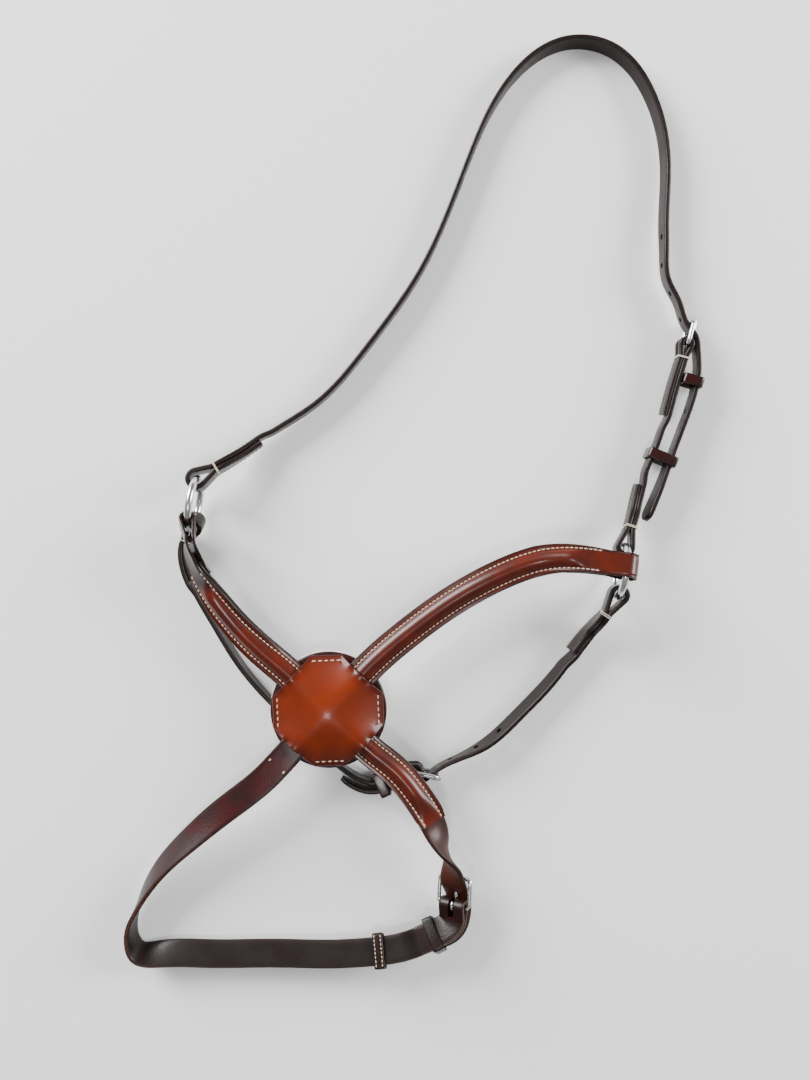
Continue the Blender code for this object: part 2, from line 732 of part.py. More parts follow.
def build_jaw():
    """Both jaw straps with their buckle and keeper."""
    half = (HEAD_THICK + TOUCH) / 2
    left, hold = jaw_left_route()
    buckle = Buckle("jaw_buckle", left, HEAD_BUCKLE_LENGTH, HEAD_WIDTH, HEAD_THICK)
    low = hold.end(HEAD_WIDTH, HEAD_THICK, half, 0.040)
    high = turned_end(BUCKLE_BAR, 0.0, buckle.shank, half, 0.024, HEAD_THICK)
    view = joined(at_start(low, hold.shank), at_finish(high, left.length, buckle.shank))
    left_strap = strap("jaw_strap_left", left, view, HEAD_WIDTH, HEAD_THICK, PAINT["dark"])
    buckle.slot(left_strap)

    right, right_hold = jaw_right_route(buckle)
    low = right_hold.end(HEAD_WIDTH, HEAD_THICK, half, 0.052)
    view = at_start(low, right_hold.shank)
    through = right.nearest(left.spot(buckle.heel))
    view += [(s, 0.0) for s in runs(view[-1][0], through - 0.028, 0.010)[1:]]
    view += [(s, 0.0) for s in runs(through - 0.028, through + 0.020, 0.0028)[1:]]
    view += [(s, 0.0) for s in runs(through + 0.020, right.length - 0.008)[1:]]
    view += [(s, 0.0) for s in runs(right.length - 0.008, right.length, 0.0015)[1:]]
    right_strap = strap("jaw_strap_right", right, view, HEAD_WIDTH, HEAD_THICK,
                        PAINT["dark"], rounded_tip(right.length, HEAD_WIDTH))
    buckle.hole(right_strap, HEAD_THICK)
    for count in range(1, 4):
        punch("jaw_hole", right_strap, right, through - 0.006 - count * PUNCH_PITCH)
    stack = 2 * HEAD_THICK + TOUCH
    pieces = [
        left_strap, right_strap,
        whipping("jaw_left_whipping", left, WHIPPING_START, HEAD_WIDTH, stack),
        whipping("jaw_right_whipping", right, WHIPPING_START, HEAD_WIDTH, stack),
    ]
    _, _, over = buckle.crossing(HEAD_THICK)
    slider = sliding_keeper("jaw_keeper", left, buckle.heel - 0.026, HEAD_WIDTH,
                            HEAD_THICK + TOUCH / 2, over + HEAD_THICK / 2)
    return pieces, buckle.build_frame(), buckle.build_tongue(), slider


def sliding_keeper(name, route, s, width, inner, outer):
    """A loose keeper round a strap and the billet on its outer face."""
    low, high = -inner - EASE, outer + EASE
    opening = (width + 2 * EASE, high - low)
    return band(name, opening, KEEPER_THICK, KEEPER_BAND, PAINT["keeper"],
                band_matrix(route, s, (low + high) / 2))


# ---- the noseband ---------------------------------------------------------------------


def arm_direction(quarter):
    """Direction of an arm from the star, in quarters from the upper right one."""
    turn = STAR_TURN + quarter * pi / 2
    return Vector((cos(turn), sin(turn), 0))


def arm_spot(quarter, reach):
    """A spot on an arm's line over the disc, at a distance from the star's middle."""
    along = arm_direction(quarter)
    return PLACE + STAR + along * reach + Vector((0, 0, ARM_LEVEL)), width_direction(along, 0)


def over_disc(quarter):
    """The two spots that keep an arm flat until it has left the disc."""
    return [arm_spot(quarter, ARM_START), arm_spot(quarter, DISC_ACROSS / 2 + EASE)]


def upper_left_route():
    """From the star to the left ring, turning up on edge on the way."""
    hold = RingHold(-1, LEFT_ARM_TURN, 20, 0.012, flip=-1)
    flat = over_disc(1)
    points = [nose(-0.2950, 0.2980, ARM_LEVEL, 10),
              nose(-0.3650, 0.2460, ARM_LEVEL + 0.001, 24),
              nose(-0.4330, 0.1790, ARM_LEVEL + 0.004, 40),
              nose(-0.4740, 0.1180, ARM_LEVEL + 0.009, 60)]
    spots = laid(points, flat[-1][0], hold.junction)
    route = Route([*flat, *spots, hold.spot], arm_direction(1), -hold.away)
    return route, hold


def upper_right_route():
    """From the star to the near side of the right ring."""
    hold = RingHold(1, 78, -84, 0.013)
    flat = over_disc(0)
    points = [nose(0.0370, 0.2090, ARM_LEVEL, 0),
              nose(0.1180, 0.1300, ARM_LEVEL + 0.001, 0),
              nose(0.2260, 0.0480, ARM_LEVEL + 0.004, 2),
              nose(0.3300, -0.0020, ARM_LEVEL + 0.007, 6)]
    spots = laid(points, flat[-1][0], hold.junction)
    route = Route([*flat, *spots, hold.spot], arm_direction(0), -hold.away)
    return route, hold


def chin_route():
    """From the star round the chin loop to the chin buckle; the outer face is down there."""
    flat = over_disc(2)
    end = Vector(nose(0.2430, 0.8370, CHIN_LEVEL + 0.0060, 0)[:3])
    points = [nose(-0.2400, 0.5850, ARM_LEVEL - 0.001, -5),
              nose(-0.3150, 0.6650, CHIN_LEVEL + 0.0120, -18),
              nose(-0.3900, 0.7500, CHIN_LEVEL + 0.0075, -40),
              nose(-0.4580, 0.8450, CHIN_LEVEL + 0.0035, -62),
              nose(-0.4930, 0.9350, CHIN_LEVEL + 0.0010, -84),
              nose(-0.4970, 1.0000, CHIN_LEVEL + 0.0005, -100),
              nose(-0.4760, 1.0330, CHIN_LEVEL + 0.0003, -118), nose(-0.4200, 1.0300, CHIN_LEVEL, -140),
              nose(-0.3100, 1.0140, CHIN_LEVEL - 0.0009, -154),
              nose(-0.1500, 0.9880, CHIN_LEVEL - 0.0005, -158),
              nose(-0.0300, 0.9690, CHIN_LEVEL + 0.0015, -158),
              nose(0.0600, 0.9480, CHIN_LEVEL + 0.0035, -158),
              nose(0.1400, 0.9210, CHIN_LEVEL + 0.0050, -156),
              nose(0.2050, 0.8820, CHIN_LEVEL + 0.0057, -152)]
    spots = laid(points, flat[-1][0], end)
    along = Vector((-0.10, 0.995, 0.0)).normalized()
    spots.append((end, width_direction(along, -150)))
    return Route([*flat, *spots], arm_direction(2), along)


def lower_right_route(buckle):
    """From the star to the chin buckle, through it and back outside the chin strap."""
    flat = over_disc(3)
    points = [nose(0.0560, 0.5200, ARM_LEVEL, 3), nose(0.1000, 0.5560, ARM_LEVEL, 6),
              nose(0.1420, 0.6010, ARM_LEVEL, 14), nose(0.1700, 0.6400, ARM_LEVEL, 34),
              nose(0.1960, 0.6790, ARM_LEVEL - 0.0005, 72)]
    through = buckle.billet_spots(CHIN_THICK, (buckle.length + 0.0080, -0.0062))
    through[0] = (through[0][0], width_direction(-buckle.route.frame(buckle.heel)[1], 120))
    _, _, over = buckle.crossing(CHIN_THICK)
    single = CHIN_THICK + EASE
    follow = ((0.014, over - TOUCH), (0.028, over - 4 * TOUCH), (0.044, single + 4 * TOUCH),
              (0.060, single), (0.080, single))
    spots = laid(points, flat[-1][0], through[0][0])
    spots += through
    for gap, out in follow:
        s = buckle.heel - gap
        spots.append((buckle.route.spot(s, out), -buckle.route.frame(s)[2]))
    s = buckle.heel - 0.098
    spots.append((buckle.route.spot(s, single), -buckle.route.frame(s)[2]))
    return Route([*flat, *spots], arm_direction(3), -buckle.route.frame(s)[1])


ARM_SHARES = (-1.0, -0.56, -0.47, -0.33, -0.12, 0.12, 0.33, 0.47, 0.56, 1.0)


def padding_lift(across):
    """Height of an arm's padding at a distance across, as a share."""
    share = min(1.0, abs(across) / (PADDING_WIDTH / 2))
    return 1.0 - share**4


def arm_rows(route, side_view, pad_end, width_at):
    """Rows of an arm's top: flat edges and a raised middle as far as pad_end."""
    rows = []
    for s, out in side_view:
        fade = min(1.0, max(0.0, (pad_end - s) / 0.010))
        lift = PADDING_RISE * fade * (1.0 if out > 0 else 0.0)
        half = width_at(s) / 2
        row = []
        for share in ARM_SHARES:
            across = share * half
            row.append(route.spot(s, out + lift * padding_lift(across), across))
        rows.append(row)
    return rows


def build_arm(name, route, hold, ring_width, pad_end, lining_stop, back=0.040):
    """A padded arm whose top leather goes round a ring: top, filler and lining."""
    def width_at(s):
        fade = min(1.0, max(0.0, (route.length - s) / 0.045))
        return ring_width + (ARM_WIDTH - ring_width) * fade

    rise = ARM_TOP_OFFSET
    end = hold.end(ring_width, ARM_TOP_THICK, rise, back, ramp=0.0)[2:]
    end = at_finish(end, route.length, hold.shank)
    stations = runs(0.0, end[0][0], 0.005)[:-1]
    view = [(s, rise) for s in stations] + end
    top = solidify(sheet(name + "_top", arm_rows(route, view, pad_end, width_at),
                         PAINT["chestnut"]), ARM_TOP_THICK)
    stations += [s for s, out in end if out == rise and s < route.length - lining_stop]
    lining_rows = [[route.spot(s, 0.0, share * width_at(s) / 2) for share in ARM_SHARES]
                   for s in stations]
    lining = solidify(sheet(name + "_lining", lining_rows, PAINT["dark"]), ARM_LINING_THICK)
    return [top, build_filler(name, route, ARM_LINING_THICK, stations, pad_end), lining]


def build_filler(name, route, lining_thick, stations, pad_end):
    """The filler between an arm's lining and its raised top."""
    out = lining_thick / 2 + TOUCH + FILLER_THICK / 2
    view = [(s, out) for s in stations if s < pad_end - 0.012]
    return strap(name + "_filler", route, view, FILLER_WIDTH, FILLER_THICK, PAINT["felt"])


def build_lower_right(buckle):
    """The arm that ends in the chin billet: a short padded top over a long billet."""
    route = lower_right_route(buckle)
    heel = route.nearest(buckle.route.spot(buckle.heel))
    pad_end = heel - buckle.length - 0.042
    rise = (CHIN_THICK + ARM_TOP_THICK) / 2 + TOUCH
    stations = runs(0.0, pad_end, 0.005)
    rows = arm_rows(route, [(s, rise) for s in stations], pad_end - 0.002,
                    lambda s: ARM_WIDTH)
    top = solidify(sheet("lower_right_arm_top", rows, PAINT["chestnut"]), ARM_TOP_THICK)
    filler = build_filler("lower_right_arm", route, CHIN_THICK, stations, pad_end)
    stations += runs(pad_end, heel + 0.030, 0.0028)[1:]
    stations += runs(heel + 0.030, route.length - 0.010)[1:]
    stations += runs(route.length - 0.010, route.length, 0.002)[1:]
    billet = strap("chin_billet", route, [(s, 0.0) for s in stations], CHIN_WIDTH,
                   CHIN_THICK, PAINT["chestnut"], rounded_tip(route.length, CHIN_WIDTH))
    buckle.hole(billet, CHIN_THICK)
    for count in (1, 2, 3):
        punch("chin_hole", billet, route, heel + 0.008 + count * PUNCH_PITCH)
    return [top, filler, billet]


def build_chin():
    """The chin strap with its buckle and keepers, and the arm that comes to it."""
    route = chin_route()
    buckle = Buckle("chin_buckle", route, CHIN_BUCKLE_LENGTH, CHIN_WIDTH, CHIN_THICK)
    half = (CHIN_THICK + TOUCH) / 2
    end = turned_end(BUCKLE_BAR, 0.0, buckle.shank, half, 0.036, CHIN_THICK)
    end = at_finish(end, route.length, buckle.shank)
    view = [(s, 0.0) for s in runs(0.0, end[0][0], 0.007)[:-1]] + end
    chin_strap = strap("chin_strap", route, view, CHIN_WIDTH, CHIN_THICK, PAINT["oxblood"])
    buckle.slot(chin_strap)
    pieces = build_lower_right(buckle)
    pieces.append(chin_strap)
    _, _, over = buckle.crossing(CHIN_THICK)
    pieces.append(sliding_keeper("chin_inner_keeper", route, buckle.heel - 0.0260, CHIN_WIDTH,
                                 CHIN_THICK + TOUCH / 2, over + CHIN_THICK / 2))
    slider = sliding_keeper("chin_sliding_keeper", route, buckle.heel - 0.064, CHIN_WIDTH,
                            CHIN_THICK / 2, 1.5 * CHIN_THICK + EASE)
    return pieces, buckle.build_frame(), buckle.build_tongue(), slider


# ---- the star -------------------------------------------------------------------------


def octagon_reach(turn):
    """Distance from the middle to the star's edge in a direction, short edges on X and Y."""
    side = STAR_ACROSS / 2
    corner = side + STAR_EDGE / 2
    c, s = abs(cos(turn)), abs(sin(turn))
    return min(side / max(c, s), corner / (c + s))


def star_height(x, y):
    """Underside of the star cover over a point, arms along the diagonals."""
    arm_top = CHIN_THICK + ARM_TOP_THICK + 2 * TOUCH + PADDING_RISE
    along, across = (x + y) / 2**0.5, (y - x) / 2**0.5
    ridge = 0.0
    for distance in (along, across):
        past = max(0.0, abs(distance) - PADDING_WIDTH / 2)
        ridge = max(ridge, 0.5 + 0.5 * cos(pi * min(1.0, past / 0.0135)))
    reach = hypot(x, y) / (STAR_ACROSS / 2)
    dome = STAR_CROWN * max(0.0, 1.0 - reach**2) ** 1.5
    return TOUCH * 2 + arm_top * ridge + dome


def build_star():
    """Felt pad, disc, boss and domed cover."""
    middle = PLACE + STAR
    pieces = [round_plate("felt_pad", FELT_ACROSS, FELT_THICK, FELT_LEVEL, "felt"),
              round_plate("star_disc", DISC_ACROSS, DISC_THICK, DISC_LEVEL, "star")]
    base = DISC_LEVEL + DISC_THICK
    boss_height = ARM_LINING_THICK + ARM_TOP_THICK + PADDING_RISE
    pieces.append(round_plate("star_boss", BOSS_ACROSS, boss_height, base + TOUCH, "dark"))

    count = 16
    turn = Matrix.Rotation(STAR_TURN - pi / 4, 4, "Z")
    rows = []
    for i in range(count + 1):
        row = []
        for j in range(count + 1):
            a, b = 2 * i / count - 1, 2 * j / count - 1
            angle = atan2(b, a)
            reach = max(abs(a), abs(b)) * octagon_reach(angle)
            x, y = reach * cos(angle), reach * sin(angle)
            height = base + TOUCH + star_height(x, y)
            row.append(middle + turn @ Vector((x, y, height)))
        rows.append(row)
    cover = solidify(sheet("star_cover", rows, PAINT["star"]), STAR_THICK, offset=1.0)
    pieces.append(cover)
    return pieces


def round_plate(name, across, thickness, level, paint):
    """A round plate with a small edge bevel, standing on a level under the star."""
    work = bmesh.new()
    bmesh.ops.create_cone(work, cap_ends=True, segments=48, radius1=across / 2,
                          radius2=across / 2, depth=thickness)
    mesh = bpy.data.meshes.new(name)
    work.to_mesh(mesh)
    work.free()
    thing = add_object(name, mesh, PAINT[paint])
    thing.location = PLACE + STAR + Vector((0, 0, level + thickness / 2))
    edge = thing.modifiers.new("edge", "BEVEL")
    edge.width = thickness * 0.2
    edge.segments = 1
    edge.limit_method = "ANGLE"
    return thing


# ---- pivots ---------------------------------------------------------------------------


def pivot(name, place, pieces):
    """An empty on a joint's axis that carries its pieces."""
    empty = bpy.data.objects.new(name, None)
    empty.empty_display_size = 0.01
    empty.location = place
    PARTS.objects.link(empty)
    bpy.context.view_layer.update()
    for piece in pieces:
        piece.parent = empty
        piece.matrix_parent_inverse = empty.matrix_world.inverted()
    return empty


def build():
    """Build every piece and hang the moving ones on their pivots."""
    axis = PLACE + Vector((0, 0, RING_LEVEL))
    ring("left_ring", -1)
    ring("right_ring", 1)
    head_pieces, head_frame, head_tongue, head_slider = build_headpiece()
    pivot("headpiece_pivot", axis, [*head_pieces, head_frame, head_tongue, head_slider])
    jaw_pieces, jaw_frame, jaw_tongue, jaw_slider = build_jaw()
    pivot("jaw_pivot", axis, [*jaw_pieces, jaw_frame, jaw_tongue, jaw_slider])
    route, hold = upper_left_route()
    build_arm("upper_left_arm", route, hold, LEFT_ARM_RING_WIDTH, route.length - 0.030,
              0.014)
    route, hold = upper_right_route()
    build_arm("upper_right_arm", route, hold, RIGHT_ARM_RING_WIDTH, route.length - 0.010,
              0.001)
    build_chin()
    build_star()


clear_scene()
PARTS = collection(PART)
CUTTERS = collection("cutters")
PAINT = {
    "dark": material("dark_leather", LEATHER_DARK, 0.48),
    "oxblood": material("oxblood_leather", LEATHER_OXBLOOD, 0.42),
    "chestnut": material("chestnut_leather", LEATHER_CHESTNUT, 0.40),
    "star": material("star_leather", LEATHER_STAR, 0.30),
    "keeper": material("keeper_leather", LEATHER_KEEPER, 0.35),
    "steel": material("steel", STEEL, 0.22, 1.0),
    "felt": material("wool_felt", FELT, 0.95),
    "thread": material("waxed_thread", THREAD, 0.60),
}
build()
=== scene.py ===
"""The crossed-noseband headcollar as finished leather, steel, felt and thread.

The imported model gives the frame. Every strap follows the same route as its solid and is
made again with rounded edges, padding and stitching. Metres, +Z up.
"""

import json
import logging
from dataclasses import dataclass, field
from enum import Enum
from math import acos, asin, atan2, ceil, cos, degrees, exp, hypot, pi, radians, sin
from typing import Callable, Optional, Sequence

import bpy
import bmesh
import numpy as np
from mathutils import Matrix, Vector

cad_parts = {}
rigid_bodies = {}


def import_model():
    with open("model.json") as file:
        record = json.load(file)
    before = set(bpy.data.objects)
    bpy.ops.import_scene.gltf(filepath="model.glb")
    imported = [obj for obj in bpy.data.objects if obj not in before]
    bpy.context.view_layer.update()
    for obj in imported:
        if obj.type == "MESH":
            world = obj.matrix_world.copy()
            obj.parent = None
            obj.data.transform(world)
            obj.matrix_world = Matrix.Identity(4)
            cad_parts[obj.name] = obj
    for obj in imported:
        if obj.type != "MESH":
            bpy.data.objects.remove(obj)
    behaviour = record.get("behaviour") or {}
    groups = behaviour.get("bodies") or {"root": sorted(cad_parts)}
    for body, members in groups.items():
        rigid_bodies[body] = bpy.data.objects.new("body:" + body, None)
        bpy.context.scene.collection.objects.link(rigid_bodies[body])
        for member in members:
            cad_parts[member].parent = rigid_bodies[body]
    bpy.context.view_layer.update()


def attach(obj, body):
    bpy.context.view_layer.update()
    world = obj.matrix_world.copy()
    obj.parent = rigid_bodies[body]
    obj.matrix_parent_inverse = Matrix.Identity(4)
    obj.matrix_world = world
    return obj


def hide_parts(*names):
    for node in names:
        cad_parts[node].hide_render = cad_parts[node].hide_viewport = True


Row = tuple[float, float]
Spot = tuple[Vector, Vector]
Profile = Callable[[float, float], list[tuple[float, float, float, float]]]

LOG = logging.getLogger("headcollar")

# ---- sizes shared with the solids -----------------------------------------------------

RING_SPACING = 0.2817
HEAD_RISE = 0.342
NOSE_DROP = 0.1189
CHIN_DROP = 0.2895
RING_OUTSIDE = 0.038
RING_WIRE = 0.0047
HEAD_WIDTH = 0.013
HEAD_THICK = 0.0032
CHIN_WIDTH = 0.018
CHIN_THICK = 0.003
ARM_WIDTH = 0.02
LEFT_ARM_RING_WIDTH = 0.013
RIGHT_ARM_RING_WIDTH = 0.016
ARM_TOP_THICK = 0.0018
ARM_LINING_THICK = 0.0022
PADDING_RISE = 0.0034
PADDING_WIDTH = 0.0112
STAR_ACROSS = 0.072
STAR_EDGE = 0.02
STAR_THICK = 0.002
STAR_CROWN = 0.005
DISC_ACROSS = 0.076
DISC_THICK = 0.0025
FELT_ACROSS = 0.074
FELT_THICK = 0.004
BUCKLE_WIRE = 0.0028
HEAD_BUCKLE_LENGTH = 0.015
CHIN_BUCKLE_LENGTH = 0.019
BUCKLE_SIDE_GAP = 0.0008
TONGUE_WIRE = 0.0024
KEEPER_BAND = 0.007
KEEPER_THICK = 0.0016
PUNCH = 0.0036
PUNCH_PITCH = 0.019
TOUCH = 0.0003
EASE = 0.0008
LOOP_EASE = 0.0006
REST = 0.0002

RING_RADIUS = (RING_OUTSIDE - RING_WIRE) / 2
HEAD_LEVEL = HEAD_WIDTH / 2 + REST
CHIN_LEVEL = CHIN_WIDTH / 2 + 0.0005
BUCKLE_BAR = BUCKLE_WIRE / 2
BUCKLE_LEVEL = HEAD_WIDTH / 2 + BUCKLE_SIDE_GAP + BUCKLE_WIRE + REST
FELT_LEVEL = HEAD_WIDTH + 0.003
DISC_LEVEL = FELT_LEVEL + FELT_THICK + TOUCH
ARM_LEVEL = DISC_LEVEL + DISC_THICK + TOUCH + CHIN_THICK / 2
ARM_TOP_OFFSET = (ARM_LINING_THICK + ARM_TOP_THICK) / 2 + TOUCH
STAR_TURN = radians(56)
ARM_START = 0.014
HEAD_TURN = -8
LEFT_ARM_TURN = 145
LEFT_ENDS_GAP = 0.0007
JAW_LEFT_SWING = -20
JAW_LEFT_SHANK = 0.0095
RING_CLEAR = 0.00404
LEFT_ENDS_APART = (LEFT_ARM_RING_WIDTH + HEAD_WIDTH) / 2 + RING_WIRE + LEFT_ENDS_GAP
JAW_LEFT_TURN = LEFT_ARM_TURN + 2 * degrees(asin(LEFT_ENDS_APART / (2 * RING_RADIUS)))
JAW_LEFT_DIP = radians(JAW_LEFT_TURN - 180)
JAW_LEFT_REACH = (RING_RADIUS + JAW_LEFT_SHANK) * cos(radians(JAW_LEFT_SWING))
RING_LEVEL = max(RING_OUTSIDE / 2 + REST, JAW_LEFT_REACH * sin(JAW_LEFT_DIP)
                 + HEAD_WIDTH / 2 * cos(JAW_LEFT_DIP) + RING_CLEAR)
PLACE = Vector((-0.0133, -0.0201, 0.0))
STAR = Vector((-0.0334, -NOSE_DROP, 0.0))

# ---- the viewpoint and the light ------------------------------------------------------

CAMERA_ASIDE = Vector((-0.00138, -0.00184, 0.0))
CAMERA_HEIGHT = 0.7065
CAMERA_ROLL = radians(8.944)
FRAME_HEIGHT = 0.72         # height of the view at CAMERA_REACH from the lens
CAMERA_REACH = 0.7
SKY = 0.3                   # strength of the even light from all sides
LAMPS = (("key", (-1.9, 1.2, 1.0), 1.3, 165.0),     # name, place, size and power
         ("fill", (2.0, 0.9, 0.9), 1.1, 90.0),
         ("flash", (-0.08, -0.5, 1.6), 0.26, 7.0))

# ---- how finely the pieces are made ---------------------------------------------------

STEP = 0.0012                # distance between the cross-sections of a strap
THREAD_TWIST = 5200.0        # how fine a thread's strands are
THREAD_RELIEF = 0.00008      # and how deep they lie
EDGE_INSET = 0.0022          # from a head strap's edge to its stitches
SKIN_ROUNDS = 1500           # rounds that stretch the cover over what holds it up
LOOSE_ROUNDS = 40            # rounds after them that soften its ridges


# ---- finishes -------------------------------------------------------------------------


@dataclass(frozen=True)
class LeatherFinish:
    """One tannage: its colours and how it takes the light."""

    name: str
    face: tuple[float, float, float]
    # dark is the mottle's darker tone and also the colour of painted shade.
    dark: tuple[float, float, float]
    edge: tuple[float, float, float]
    flesh: tuple[float, float, float]
    gloss: float = 0.36
    grain: float = 0.3
    wear: float = 0.35
    coat: float = 0.25
    mottle: float = 0.7


@dataclass(frozen=True)
class PlainFinish:
    """A metal, felt or thread finish."""

    name: str
    colour: tuple[float, float, float]
    other: tuple[float, float, float]
    roughness: float


DARK = LeatherFinish("dark_leather", (0.011, 0.0042, 0.0034), (0.003, 0.0014, 0.0012),
                     (0.012, 0.0062, 0.0048), (0.008, 0.0036, 0.0029), gloss=0.32, wear=0.3,
                     coat=0.08, grain=0.6)
OXBLOOD = LeatherFinish("oxblood_leather", (0.036, 0.0042, 0.0046), (0.0065, 0.0018, 0.0016),
                        (0.046, 0.016, 0.0085), (0.007, 0.0028, 0.0024), gloss=0.34, wear=0.16,
                        coat=0.08, grain=0.6)
CHESTNUT = LeatherFinish("chestnut_leather", (0.085, 0.009, 0.0026), (0.011, 0.002, 0.0014),
                         (0.009, 0.0028, 0.0021), (0.024, 0.0075, 0.0045), gloss=0.3, wear=0.08,
                         coat=0.25, mottle=0.5)
BILLET = LeatherFinish("billet_leather", (0.043, 0.008, 0.0036), (0.012, 0.003, 0.002),
                       (0.016, 0.0055, 0.0036), (0.038, 0.0085, 0.0042), gloss=0.36, coat=0.05)
LINING = LeatherFinish("lining_leather", (0.0095, 0.0028, 0.0022), (0.0036, 0.0014, 0.0013),
                       (0.01, 0.0036, 0.0028), (0.0085, 0.0028, 0.0022), gloss=0.46, coat=0.05)
STARRED = LeatherFinish("star_leather", (0.155, 0.017, 0.0022), (0.04, 0.0032, 0.0014),
                        (0.02, 0.0045, 0.0026), (0.04, 0.012, 0.007), gloss=0.3,
                        grain=0.14, wear=0.02, coat=0.16, mottle=0.3)
DISC = LeatherFinish("disc_leather", (0.044, 0.005, 0.0036), (0.014, 0.0022, 0.0018),
                     (0.02, 0.0045, 0.0032), (0.04, 0.012, 0.007), gloss=0.34, coat=0.3)
KEEPERS = LeatherFinish("keeper_leather", (0.023, 0.0024, 0.003), (0.0065, 0.0015, 0.0015),
                        (0.015, 0.004, 0.0034), (0.014, 0.004, 0.0034), gloss=0.3, coat=0.3)
STEEL = PlainFinish("steel", (0.74, 0.74, 0.73), (0.52, 0.53, 0.54), 0.16)
FELT = PlainFinish("wool_felt", (0.8, 0.77, 0.71), (0.66, 0.62, 0.56), 0.95)
CREAM = PlainFinish("waxed_thread", (0.66, 0.5, 0.33), (0.46, 0.31, 0.19), 0.55)
BROWN = PlainFinish("brown_thread", (0.11, 0.075, 0.055), (0.05, 0.034, 0.026), 0.6)
PALE = PlainFinish("pale_thread", (0.72, 0.63, 0.5), (0.5, 0.4, 0.3), 0.6)


class Side(Enum):
    """Which cheek ring."""

    LEFT = -1
    RIGHT = 1


# ---- shader groups --------------------------------------------------------------------


class Paint:
    """Builds and keeps the materials and the shader groups that they share."""

    def __init__(self) -> None:
        """Start with no materials made."""
        self.made: dict[str, bpy.types.Material] = {}
        self.grain = self.build_grain()
        self.ageing_and_shade = self.build_ageing_and_shade()

    @staticmethod
    def socket(group: bpy.types.NodeTree, name: str, kind: str, out: bool = False,
               value: float = 0.0) -> None:
        """Add one socket to a node group.

        Args:
            group: the node group.
            name: the socket's name.
            kind: Float, Color, Vector, Geometry, Int or Material.
            out: whether it is an output.
            value: a Float's default.
        """
        where = "OUTPUT" if out else "INPUT"
        made = group.interface.new_socket(name, in_out=where, socket_type="NodeSocket" + kind)
        if kind == "Float" and not out:
            made.default_value = value

    def build_grain(self) -> bpy.types.NodeTree:
        """Leather grain: a height from pebbles, fine pores and slow creases.

        Returns:
            The shader node group.
        """
        group = bpy.data.node_groups.new("leather_grain", "ShaderNodeTree")
        self.socket(group, "Vector", "Vector")
        self.socket(group, "Scale", "Float", value=900.0)
        self.socket(group, "Creases", "Float", value=0.4)
        self.socket(group, "Height", "Float", out=True)
        node, link = group.nodes.new, group.links.new
        start, end = node("NodeGroupInput"), node("NodeGroupOutput")
        cells = node("ShaderNodeTexVoronoi")
        cells.feature = "SMOOTH_F1"
        cells.inputs["Smoothness"].default_value = 0.5
        pores = node("ShaderNodeTexNoise")
        pores.inputs["Detail"].default_value = 4.0
        creases = node("ShaderNodeTexNoise")
        creases.inputs["Scale"].default_value = 140.0
        creases.inputs["Detail"].default_value = 5.0
        creases.inputs["Distortion"].default_value = 1.2
        for texture in (cells, pores, creases):
            link(start.outputs["Vector"], texture.inputs["Vector"])
        double = node("ShaderNodeMath")
        double.operation = "MULTIPLY"
        double.inputs[1].default_value = 2.2
        link(start.outputs["Scale"], cells.inputs["Scale"])
        link(start.outputs["Scale"], double.inputs[0])
        link(double.outputs[0], pores.inputs["Scale"])
        share = node("ShaderNodeMath")
        share.operation = "MULTIPLY_ADD"
        share.inputs[1].default_value = 0.45
        link(pores.outputs["Fac"], share.inputs[0])
        link(cells.outputs["Distance"], share.inputs[2])
        both = node("ShaderNodeMath")
        both.operation = "MULTIPLY_ADD"
        link(creases.outputs["Fac"], both.inputs[0])
        link(start.outputs["Creases"], both.inputs[1])
        link(share.outputs[0], both.inputs[2])
        link(both.outputs[0], end.inputs["Height"])
        return group

    def build_ageing_and_shade(self) -> bpy.types.NodeTree:
        """Colour of used leather: mottled face, painted shade, cut edge, flesh side and rubbed
        places.

        Returns:
            The shader node group.
        """
        group = bpy.data.node_groups.new("leather_ageing", "ShaderNodeTree")
        self.socket(group, "Vector", "Vector")
        for name in ("Face", "Dark", "Edge", "Flesh"):
            self.socket(group, name, "Color")
        for name in ("Rim", "Flesh side", "Shaded", "Wear", "Mottle"):
            self.socket(group, name, "Float")
        self.socket(group, "Color", "Color", out=True)
        self.socket(group, "Polish", "Float", out=True)
        node, link = group.nodes.new, group.links.new
        start, end = node("NodeGroupInput"), node("NodeGroupOutput")
        slow, quick = node("ShaderNodeTexNoise"), node("ShaderNodeTexNoise")
        slow.inputs["Scale"].default_value = 55.0
        slow.inputs["Detail"].default_value = 6.0
        quick.inputs["Scale"].default_value = 620.0
        quick.inputs["Detail"].default_value = 5.0
        for texture in (slow, quick):
            link(start.outputs["Vector"], texture.inputs["Vector"])
        mottle = self.ramp(group, slow.outputs["Fac"], 0.36, 0.66)
        clear = self.maths(group, "SUBTRACT", mottle, 1.0)
        clear = self.maths(group, "MULTIPLY", clear, start.outputs["Mottle"])
        clear = self.maths(group, "ADD", clear, 1.0)
        face = self.mix(group, clear, start.outputs["Dark"], start.outputs["Face"])
        # Painted shade: the face goes to the dark colour where the mesh is marked shaded.
        face = self.mix(group, start.outputs["Shaded"], face, start.outputs["Dark"])
        speck = self.ramp(group, quick.outputs["Fac"], 0.58, 0.74)
        speck = self.maths(group, "MULTIPLY", speck, start.outputs["Wear"])
        face = self.mix(group, speck, face, start.outputs["Edge"])
        face = self.mix(group, start.outputs["Flesh side"], face, start.outputs["Flesh"])
        strip = self.ramp(group, quick.outputs["Fac"], 0.25, 0.6)
        cut = self.mix(group, strip, start.outputs["Dark"], start.outputs["Edge"])
        face = self.mix(group, start.outputs["Rim"], face, cut)
        link(face, end.inputs["Color"])
        link(mottle, end.inputs["Polish"])
        return group

